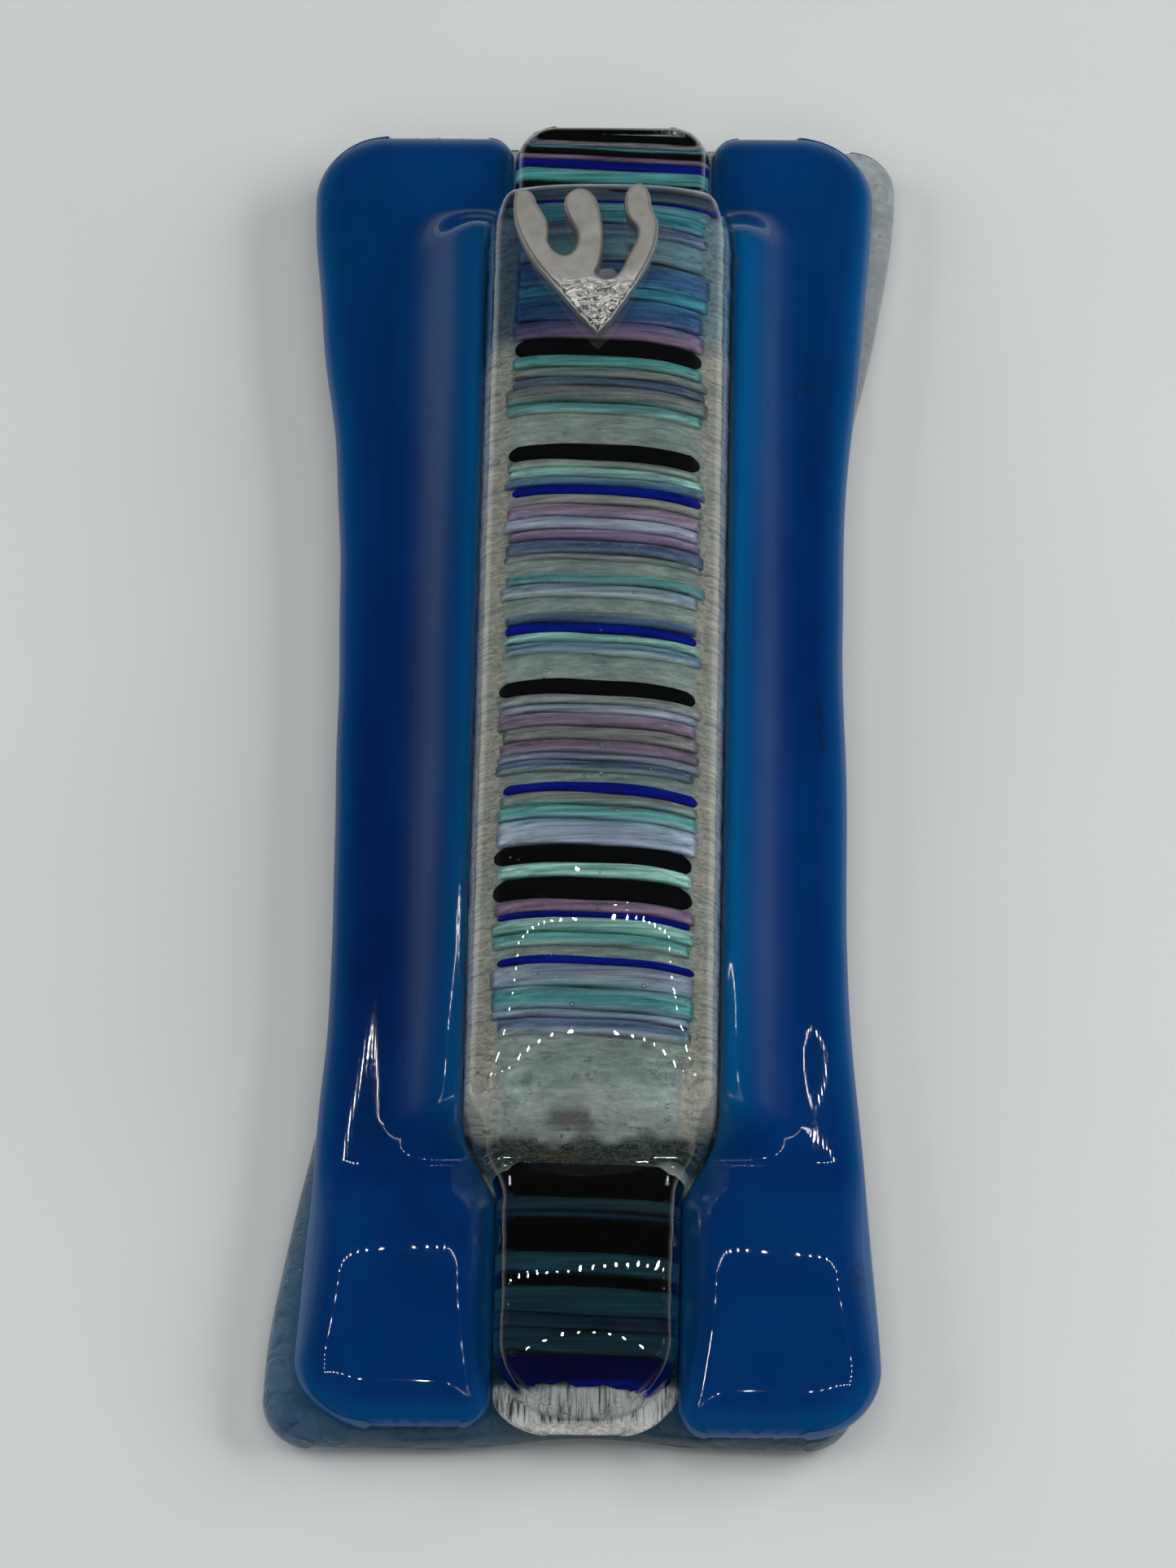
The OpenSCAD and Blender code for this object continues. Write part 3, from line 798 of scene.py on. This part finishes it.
def cap_sheet():
    """The clear cap. Its underside runs below the silver's top, so the bars are cast inside it."""
    low_end = CAP_ENDS[0]
    x, y = strip_grid(*CAP_ENDS, (7.0, 4.0), cap_margin, 101, 0.05, 41)
    low = strip_height(x, y, SILVER_SHARE) - FUSED
    across = clamp01(1 - ((x - strip_axis(y)) / cap_margin(y)) ** 2)
    pillow = 0.9 * PILLOW_HEIGHT * swell(y, low_end, PILLOW_END, 0.8) * across
    nose = mix(0.4, 1.0, round_rim(y - low_end, NOSE_RUN))
    high = mix(low, height(x, y, CAP) + pillow, nose) + 0.02 * waves(x, y, 9, 43)
    vertices, faces, _ = sheet_mesh(x, y, low, high, Edge(1.3, 0.2, 0.45))
    parts = [vertices]
    count = len(vertices)
    for centre, radius in bubbles():
        more, more_faces = bubble(centre, radius)
        parts.append(more)
        faces.extend([[i + count for i in face] for face in more_faces])
        count += len(more)
    return np.concatenate(parts), faces


# ---------------------------------------------------------------- bars

BARS = (
    ("black", 0.8), ("silver", 0.3), ("mauve", 0.5), ("teal", 0.3), ("black", 0.7),
    ("mauve", 0.6), ("cobalt", 1), ("teal", 1.6), ("black", 1.4), ("slate", 1.6),
    ("mauve", 1.2), ("taupe", 1.9), ("cobalt", 0.8), ("seafoam", 1.9), ("teal", 1.9),
    ("mauve", 1.4), ("silver", 1.8), ("taupe", 1.4), ("slate", 2.8), ("teal", 1.4),
    ("slate", 2.7), ("mauve", 2), ("black", 1.9), ("teal", 1.3), ("taupe", 1.2),
    ("slate", 0.9), ("taupe", 1.9), ("teal", 1.2), ("silver", 3.3), ("black", 1.8),
    ("taupe", 0.9), ("seafoam", 1.1), ("slate", 0.9), ("cobalt", 1), ("taupe", 1.1),
    ("mauve", 1.4), ("lavender", 1.4), ("mauve", 1.1), ("slate", 1.5), ("taupe", 0.6),
    ("silver", 1.4), ("teal", 1.3), ("lavender", 1.4), ("silver", 1.7), ("slate", 1.2),
    ("cobalt", 1.1), ("seafoam", 1), ("slate", 1.2), ("silver", 2.8), ("black", 1.6),
    ("taupe", 1.1), ("lavender", 1), ("mauve", 1.4), ("taupe", 1.5), ("mauve", 1.3),
    ("lavender", 0.9), ("slate", 1.1), ("silver", 1.2), ("cobalt", 1.1), ("taupe", 1.3),
    ("teal", 1.5), ("lavender", 2.7), ("black", 1.9), ("seafoam", 1.5), ("black", 2.4),
    ("mauve", 1.3), ("cobalt", 0.6), ("seafoam", 1.5), ("teal", 1.3), ("silver", 1),
    ("cobalt", 0.8), ("lavender", 2.2), ("teal", 2.1), ("lavender", 0.8), ("slate", 1.4),
    ("silver", 9.2), ("black", 3.6), ("taupe", 1.5), ("slate", 0.8), ("black", 3.4),
    ("teal", 2.2), ("black", 1.2), ("teal", 2.7), ("slate", 1.4), ("teal", 2.3),
    ("cobalt", 2.7),
)
FIRST_BAR = 69.8  # upper edge of the first bar; the others follow downwards
BAR_GAP = 0.02
BAR_SLANT = BAR_TILT + ROW_SLANT


def bar_sheet(low, high, seed, dense, ragged):
    """One bar, a thin slab whose long edges wander a little and whose ends are round."""
    width = high - low
    rows = mix(low, high, spread(max(7, int(width / 0.16)), 0.6))[:, None]
    radius = 0.49 * width if dense else 0.2 * width
    pull = corner(np.minimum(rows - low, high - rows), radius)
    rng = np.random.default_rng(seed)
    reach = bars_half(rows) - pull + (0.1 if dense else 0.2)
    left = -reach + rng.uniform(-0.3, 0.3)
    right = reach + rng.uniform(-0.3, 0.3)
    x = strip_axis(rows) + mix(left, right, spread(49, 0.4)[None, :])
    wander = min(0.14, 0.12 * width)
    drift = mix(
        waves(x, 0 * x, 11, seed + 1), waves(x, 0 * x, 11, seed + 2), (rows - low) / width
    )
    jags = ragged * (high - rows) / width * waves(x, 0 * x, 1.5, seed + 3)
    y = rows + wander * drift + jags - BAR_SLANT * x
    base = strip_height(x, y, SILVER_SHARE) - FUSED
    top = strip_height(x, y, BARS_SHARE)
    vertices, faces, _ = sheet_mesh(x, y, base, top, Edge(0.3, 0.1, 0.3))
    across = (vertices[:, 1] + BAR_SLANT * vertices[:, 0] - low) / width
    return vertices, faces, clamp01(across)


def soft_colour(index):
    """A bar's own colour, a shade apart from others of its glass. A dense bar has none."""
    if not 0 <= index < len(BARS):
        return None
    kind = BARS[index][0]
    if kind in DENSE_GLASS:
        return None
    colour = np.array(SILVER if kind == "silver" else SOFT_GLASS[kind])
    return colour * (1 + 0.25 * math.sin(index * 12.9898))


def bar_tint(index, across):
    """Colours over a bar, from its lower edge at 0 to its upper one at 1."""
    own = soft_colour(index)
    below, above = soft_colour(index + 1), soft_colour(index - 1)
    reach = min(0.5, 0.8 / BARS[index][1])
    colour = np.tile(own, (len(across), 1))
    if below is not None:
        colour = paint(colour, below, 0.6 * ease(1 - across / reach))
    if above is not None:
        colour = paint(colour, above, 0.6 * ease(1 - (1 - across) / reach))
    return colour


def bars_of(glass):
    """Every bar of one glass, joined in one piece of separate solids."""
    vertices, faces, tints = [], [], []
    count = 0
    edge = FIRST_BAR
    for index, (kind, width) in enumerate(BARS):
        low, high = edge - width, edge
        edge = low
        if kind != glass:
            continue
        dense = glass in DENSE_GLASS
        ragged = 0.22 if index == len(BARS) - 1 else 0.0
        v, f, across = bar_sheet(low + BAR_GAP / 2, high - BAR_GAP / 2, 100 + index, dense, ragged)
        vertices.append(v)
        faces.extend([[i + count for i in face] for face in f])
        tints.append(np.ones((len(v), 3)) if dense else bar_tint(index, across))
        count += len(v)
    return np.concatenate(vertices), faces, np.concatenate(tints)


# ---------------------------------------------------------------- letter, scroll and tape

LETTER_PLACE = (0.7, 37.9)
LETTER_TURN = math.radians(2)
LETTER_PITCH = math.radians(-2.6)
LETTER_THICKNESS = 1.4
LETTER_BEVEL = 0.35
GLUE_BED = 0.25
LETTER_BASE = float(height(np.array(LETTER_PLACE[0]), np.array(LETTER_PLACE[1]), CAP)) + GLUE_BED

LETTER_CURVES = (
    (((0.2, 0), (-1.6, 2.2), (-3.2, 5.2), (-4.8, 7.6)), 10),
    (((-4.8, 7.6), (-6.6, 10.6), (-7.6, 14), (-6.8, 16.8)), 12),
    (((-6.8, 16.8), (-6, 17.4), (-5, 16.6), (-5, 15.6)), 8),
    (((-5, 15.6), (-4.6, 14.4), (-3.4, 13), (-4, 11)), 10),
    (((-4, 11), (-3.8, 9.4), (-2.2, 8.2), (-1.5, 10)), 10),
    (((-1.5, 10), (-0.6, 12), (-2.8, 13.4), (-2.3, 15.7)), 12),
    (((-2.3, 15.7), (-1.6, 17.4), (0.2, 17.4), (0.8, 15)), 12),
    (((0.8, 15), (1.4, 12), (1.2, 8.6), (0.3, 7)), 10),
    (((0.3, 7), (0.6, 5.8), (2.2, 5.6), (3, 8.2)), 10),
    (((3, 8.2), (4, 10.4), (5, 11.6), (3.6, 13)), 10),
    (((3.6, 13), (2.8, 14.4), (3.2, 17.6), (4.8, 17.3)), 10),
    (((4.8, 17.3), (6.2, 16.2), (5.2, 14.8), (6.2, 13)), 10),
    (((6.2, 13), (6.6, 9.4), (3.6, 5), (0.8, 0.5)), 14),
)


def bezier(points, t):
    points = np.array(points, dtype=float)
    while len(points) > 1:
        points = mix(points[:-1], points[1:], t)
    return points[0]


def letter_outline():
    return [bezier(points, i / n) for points, n in LETTER_CURVES for i in range(n)]


def letter_mesh():
    """The letter's outline, extruded about its middle plane, with rounded edges."""
    curve = bpy.data.curves.new("letter_outline", "CURVE")
    curve.dimensions = "2D"
    curve.fill_mode = "BOTH"
    curve.extrude = (LETTER_THICKNESS / 2 - LETTER_BEVEL) * MM
    curve.bevel_depth = LETTER_BEVEL * MM
    curve.bevel_resolution = 4
    curve.offset = -LETTER_BEVEL * MM
    outline = letter_outline()
    spline = curve.splines.new("POLY")
    spline.points.add(len(outline) - 1)
    for point, (px, py) in zip(spline.points, outline):
        point.co = (px * MM, py * MM, 0, 1)
    spline.use_cyclic_u = True
    shape = scene_object("letter_outline", curve)
    remesh = shape.modifiers.new("remesh", "REMESH")
    remesh.mode = "VOXEL"
    remesh.voxel_size = 0.11 * MM
    bpy.context.view_layer.update()
    evaluated = shape.evaluated_get(bpy.context.evaluated_depsgraph_get())
    mesh = bpy.data.meshes.new_from_object(evaluated)
    bpy.data.objects.remove(shape)
    return mesh


def hammer(mesh):
    """Dents the letter's lower part and lifts its back to 0. Returns how worn each point is."""
    co = np.empty(len(mesh.vertices) * 3)
    mesh.vertices.foreach_get("co", co)
    co = co.reshape(-1, 3) / MM
    upper = ease((co[:, 2] - 0.1) / 0.5)
    struck = ease((7.2 - co[:, 1]) / 2.4)
    dents = waves(co[:, 0], co[:, 1], 0.9, 71) + 0.6 * waves(co[:, 0], co[:, 1], 0.45, 72)
    co[:, 2] += upper * struck * 0.11 * dents + upper * 0.03 * waves(co[:, 0], co[:, 1], 2.5, 73)
    co[:, 2] += LETTER_THICKNESS / 2
    mesh.vertices.foreach_set("co", (co * MM).ravel())
    return struck * upper


def letter_piece():
    """The cast letter, tilted on its glue bed."""
    mesh = letter_mesh()
    letter = scene_object("shin_letter_cast", mesh)
    set_attribute(letter, "worn", hammer(mesh))
    mesh.polygons.foreach_set("use_smooth", [True] * len(mesh.polygons))
    place = Matrix.Translation(Vector((*LETTER_PLACE, LETTER_BASE)) * MM)
    mesh.transform(place @ Matrix.Rotation(LETTER_TURN, 4, "Z") @ Matrix.Rotation(LETTER_PITCH, 4, "X"))
    return letter


def glue_sheet():
    v = np.linspace(2.4, 8.4, 25)[:, None]
    reach = (1.2 + 0.24 * v) * np.sqrt(np.maximum(1 - ((v - 5.6) / 3.4) ** 2, 0.05))
    u = reach * np.linspace(-1, 1, 25)[None, :]
    v = v + 0 * u
    x = LETTER_PLACE[0] + u * math.cos(LETTER_TURN) - v * math.sin(LETTER_TURN)
    y = LETTER_PLACE[1] + u * math.sin(LETTER_TURN) + v * math.cos(LETTER_TURN)
    low = height(x, y, CAP) - 0.02
    high = LETTER_BASE + (y - LETTER_PLACE[1]) * math.tan(LETTER_PITCH) - 0.01
    return sheet_mesh(x, y, low, np.maximum(high, low + 0.05), Edge(0.5, 0.2, 0.3))


SCROLL_MIDDLE = 8.0
SCROLL_LENGTH = 74.0
SLEEVE_LENGTH = 78.0
SLEEVE_RADIUS = 4.0
SLEEVE_WALL = 0.35
PARCHMENT_OUTER = 3.4
PARCHMENT_TURNS = 3.25
PARCHMENT_PITCH = 0.62
PARCHMENT_THICKNESS = 0.3


def tube_around_scroll(profile, sides):
    """Sweeps a closed profile of (radius, length) round the scroll's axis."""
    centre = np.array([float(hump_axis(SCROLL_MIDDLE)), SCROLL_MIDDLE, SLEEVE_RADIUS])
    turns = np.linspace(0, 2 * math.pi, sides, endpoint=False)
    vertices = [
        centre + (r * math.cos(a), s, r * math.sin(a)) for a in turns for r, s in profile
    ]
    n = len(profile)
    faces = []
    for i in range(sides):
        for j in range(n):
            a, b = i * n + j, i * n + (j + 1) % n
            c, d = ((i + 1) % sides) * n + (j + 1) % n, ((i + 1) % sides) * n + j
            faces.append((a, b, c, d))
    return vertices, faces


def sleeve_profile():
    """Half-section of a thin tube with rounded lips."""
    half = SLEEVE_LENGTH / 2
    lip = SLEEVE_WALL / 2
    middle = SLEEVE_RADIUS - lip
    arc = [math.pi * k / 8 for k in range(9)]
    far = [(middle + lip * math.cos(a), half - lip + lip * math.sin(a)) for a in arc]
    near = [(middle - lip * math.cos(a), -half + lip - lip * math.sin(a)) for a in arc]
    runs = np.linspace(-half + 1, half - 1, 24)
    outside = [(SLEEVE_RADIUS, s) for s in runs]
    inside = [(SLEEVE_RADIUS - SLEEVE_WALL, s) for s in runs[::-1]]
    return outside + far + inside + near


def parchment_sheet():
    """The rolled skin: a spiral strip whose two edges are a little uneven."""
    steps = 150
    t = np.linspace(0, 1, steps + 1)
    angle = 2 * math.pi * PARCHMENT_TURNS * t
    outer = PARCHMENT_OUTER - PARCHMENT_PITCH * PARCHMENT_TURNS * (1 - t)
    radius = np.concatenate([outer, (outer - PARCHMENT_THICKNESS)[::-1]])
    around = np.concatenate([angle, angle[::-1]])
    ring = len(radius)
    stations = spread(33, 0.5) * 2 - 1
    uneven = 0.25 * np.sin(around * 1.7) + 0.15 * np.sin(around * 4.3 + 1)
    centre_x = float(hump_axis(SCROLL_MIDDLE))
    vertices = []
    for s in stations:
        buckle = 0.04 * waves(around * 3, s * 30 + 0 * around, 12, 81)
        vertices.extend(zip(
            centre_x + (radius + buckle) * np.cos(around),
            SCROLL_MIDDLE + s * (SCROLL_LENGTH / 2 - 0.4) + s * uneven,
            SLEEVE_RADIUS + (radius + buckle) * np.sin(around),
        ))
    faces = []
    for k in range(len(stations) - 1):
        for j in range(ring):
            a, b = k * ring + j, k * ring + (j + 1) % ring
            faces.append((a, b, b + ring, a + ring))
    last = (len(stations) - 1) * ring
    for j in range(steps):
        a, b, c, d = j, j + 1, ring - 2 - j, ring - 1 - j
        faces.append((a, d, c, b))
        faces.append((last + a, last + b, last + c, last + d))
    return vertices, faces


def tape_piece(name, node):
    """A foam pad over the CAD pad's box, with softly bulging cut edges."""
    low, high = (np.array(corner_point) / MM for corner_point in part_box(node))
    rows = mix(low[1], high[1], spread(25, 0.6))[:, None]
    x = mix(low[0], high[0], spread(49, 0.6))[None, :] + 0 * rows
    y = np.clip(rows + 0.04 * waves(x, rows, 3, 91), low[1], high[1])
    vertices, faces, _ = sheet_mesh(x, y, low[2] + 0 * x, high[2] + 0 * x, Edge(0.2, 0.2, 0.5))
    return mesh_object(name, vertices, faces)


# ---------------------------------------------------------------- pieces


def build_base():
    vertices, faces, _ = base_sheet()
    base = mesh_object("base_glass_sheet", vertices, faces)
    # Painted shade: the clear base darker and bluer towards its lower end, as shade falls through the
    # blue wings above.
    shade_fades_upward = ease((vertices[:, 1] + 50) / 80)
    set_colour(base, "tint", paint(np.array((0.20, 0.42, 0.62)), (0.95, 1.0, 1.0), shade_fades_upward))
    dress(base, base_material(), "clear_glass", CASE_BODY, "base_glass")


def build_wings():
    blue = blue_material()
    for name, side in (("left", -1), ("right", 1)):
        vertices, faces, painted_sheen_and_tone = blue_sheet(side, *WING_ENDS[name])
        wing = mesh_object(f"blue_wing_{name}", vertices, faces)
        set_attribute(wing, "painted_sheen_and_tone", painted_sheen_and_tone)
        dress(wing, blue, "blue_glass", CASE_BODY, f"blue_glass_{name}")


def build_silver():
    vertices, faces = silver_sheet()
    px, py = vertices[:, 0], vertices[:, 1]
    silver = mesh_object("silver_sheet", vertices, faces)
    set_colour(silver, "tint", silver_tint(px, py))
    set_colour(silver, "dark_tab_and_painted_shade", dark_tab_and_painted_shade(px, py))
    for name, values in silver_marks(px, py).items():
        set_attribute(silver, name, values)
    dress(silver, silver_material(), "silver_glass", CASE_BODY, "silver_strip")


def build_bars():
    for glass in (*DENSE_GLASS, *SOFT_GLASS):
        vertices, faces, tint = bars_of(glass)
        group = mesh_object(f"{glass}_glass_bars", vertices, faces)
        set_colour(group, "tint", tint)
        set_colour(group, "dark_tab_and_painted_shade", dark_tab_and_painted_shade(vertices[:, 0], vertices[:, 1]))
        if glass in DENSE_GLASS:
            material = smooth_bar_material(f"{glass}_bar_glass", *DENSE_GLASS[glass])
        else:
            material = bar_material(f"{glass}_bar_glass")
        dress(group, material, f"{glass}_glass", CASE_BODY, f"{glass}_bars")


def build_cap():
    cap = mesh_object("cap_sheet", *cap_sheet())
    dress(cap, cap_material(), "cap_clear_glass", CASE_BODY, "cap_glass")


def build_letter():
    letter = face_outward(letter_piece())
    dress(letter, pewter_material(), "pewter", CASE_BODY, "shin_letter")
    vertices, faces, _ = glue_sheet()
    dress(mesh_object("glue_bed", vertices, faces), glue_material(), "clear_glue", CASE_BODY,
          "shin_adhesive")
    return letter


def build_scroll():
    vertices, faces = parchment_sheet()
    roll = face_outward(mesh_object("parchment_roll", vertices, faces))
    dress(roll, parchment_material(), "parchment", SCROLL_BODY, "scroll_parchment")
    vertices, faces = tube_around_scroll(sleeve_profile(), 72)
    tube = face_outward(mesh_object("sleeve_tube", vertices, faces))
    dress(tube, sleeve_material(), "clear_sleeve", SCROLL_BODY, "scroll_sleeve")


def build_tape():
    foam = foam_material()
    for end in ("top", "bottom"):
        pad = tape_piece(f"tape_{end}", f"tape_pad_{end}")
        dress(pad, foam, "foam_tape", CASE_BODY, f"tape_pad_{end}")


# ---------------------------------------------------------------- stage, light and camera


def emissive(name, colour, strength):
    m = Nodes(name)
    m.set(Base_Color=(0, 0, 0, 1), Roughness=1.0)
    m.set(Emission_Color=(*colour, 1), Emission_Strength=strength)
    return m.material


FLOOR_HALF = 900.0
FLOOR_DROP = 0.02  # keeps the floor just clear of the tape's outer face


def build_floor():
    steps = np.linspace(-FLOOR_HALF, FLOOR_HALF, 13)
    x, y = np.meshgrid(steps, steps)
    vertices = np.stack([x.ravel(), y.ravel(), 0 * x.ravel() - FLOOR_DROP], 1)
    index = np.arange(x.size).reshape(x.shape)
    faces = np.stack([index[:-1, :-1], index[:-1, 1:], index[1:, 1:], index[1:, :-1]], -1)
    floor = mesh_object("studio_floor", vertices, faces.reshape(-1, 4).tolist())
    floor.data.materials.append(floor_material())


LAMP_HEIGHT = 345.0
LAMP_MIDDLE = (0.0, 80.0)
LAMP_SIZE = (440.0, 200.0)
LAMP_DOTS = (17, 9)
LAMP_SIDES = 6
LAMP_RADIUS = 2.2
LAMP_STRENGTH = 150.0


def build_lamp_dots():
    """A rectangular string of small lamps above the case, for its reflections in glass."""
    half_x, half_y = LAMP_SIZE[0] / 2, LAMP_SIZE[1] / 2
    across = np.linspace(-half_x, half_x, LAMP_DOTS[0], endpoint=False)
    deep = np.linspace(-half_y, half_y, LAMP_DOTS[1], endpoint=False)
    places = (
        [(s, -half_y) for s in across] + [(half_x, s) for s in deep]
        + [(-s, half_y) for s in across] + [(-half_x, -s) for s in deep]
    )
    vertices, faces = [], []
    for px, py in places:
        start = len(vertices)
        for k in range(LAMP_SIDES):
            a = 2 * math.pi * k / LAMP_SIDES
            vertices.append((LAMP_MIDDLE[0] + px + LAMP_RADIUS * math.cos(a),
                             LAMP_MIDDLE[1] + py + LAMP_RADIUS * math.sin(a), LAMP_HEIGHT))
        faces.append([start + k for k in reversed(range(LAMP_SIDES))])
    dots = mesh_object("lamp_dots", vertices, faces, smooth=False)
    dots.data.materials.append(emissive("lamp_dot", (1.0, 0.98, 0.95), LAMP_STRENGTH))
    dots.visible_shadow = False
    dots.visible_diffuse = False


def area_light(name, place, aim, size, power, colour=(1, 1, 1)):
    light = bpy.data.lights.new(name, "AREA")
    light.shape = "RECTANGLE"
    light.size, light.size_y = (s * MM for s in size)
    light.energy = power
    light.color = colour
    obj = scene_object(name, light)
    obj.location = Vector(place) * MM
    direction = Vector(aim) * MM - obj.location
    obj.rotation_euler = direction.to_track_quat("-Z", "Y").to_euler()
    obj.visible_glossy = False
    return obj


SKY = ((0.1, 0.42), (0.3, 0.12), (0.55, 0.02))  # brightness at heights, from low to high


def build_world():
    world = bpy.data.worlds.new("light_tent")
    bpy.context.scene.world = world
    world.use_nodes = True
    tree = world.node_tree
    background = tree.nodes["Background"]
    coordinates = tree.nodes.new("ShaderNodeTexCoord")
    split = tree.nodes.new("ShaderNodeSeparateXYZ")
    ramp = tree.nodes.new("ShaderNodeValToRGB")
    tree.links.new(coordinates.outputs["Generated"], split.inputs["Vector"])
    tree.links.new(split.outputs["Z"], ramp.inputs["Fac"])
    tree.links.new(ramp.outputs["Color"], background.inputs["Color"])
    elements = ramp.color_ramp.elements
    elements.new(0.5)
    for element, (position, value) in zip(elements, SKY):
        element.position = position
        element.color = (value, value * 1.01, value * 1.02, 1)


def build_lights(letter):
    area_light("key_left", (-460, 60, 280), (0, 0, 0), (520, 240), 1.4)
    area_light("key_right", (460, 60, 280), (0, 0, 0), (520, 240), 2.4)
    area_light("front_soft", (0, -520, 420), (0, 0, 0), (500, 260), 0.8)
    area_light("top_soft", (0, -40, 700), (0, 0, 0), (620, 520), 1.6)
    metal_only = bpy.data.collections.new("metal_only")
    metal_only.objects.link(letter)
    panel = area_light("letter_soft", (0, 330, 420), (0, 45, 17), (420, 260), 0.25)
    panel.visible_glossy = True
    panel.light_linking.receiver_collection = metal_only


CAMERA_ELEVATION = math.radians(57)
CAMERA_DISTANCE = 1.0  # in metres
CAMERA_AIM = (0, -4.5, 8)


def build_camera():
    camera = bpy.data.cameras.new("camera")
    camera.lens = 254
    camera.sensor_width = 36
    camera.clip_start = 0.05
    obj = scene_object("camera", camera)
    back = Vector((0, -math.cos(CAMERA_ELEVATION), math.sin(CAMERA_ELEVATION)))
    obj.location = Vector(CAMERA_AIM) * MM + back * CAMERA_DISTANCE
    obj.rotation_euler = (-back).to_track_quat("-Z", "Y").to_euler()
    bpy.context.scene.camera = obj


build_base()
build_wings()
build_silver()
build_bars()
build_cap()
shin = build_letter()
build_scroll()
build_tape()
build_floor()
build_lamp_dots()
build_lights(shin)
build_world()
build_camera()
bpy.context.scene.view_settings.view_transform = "Standard"
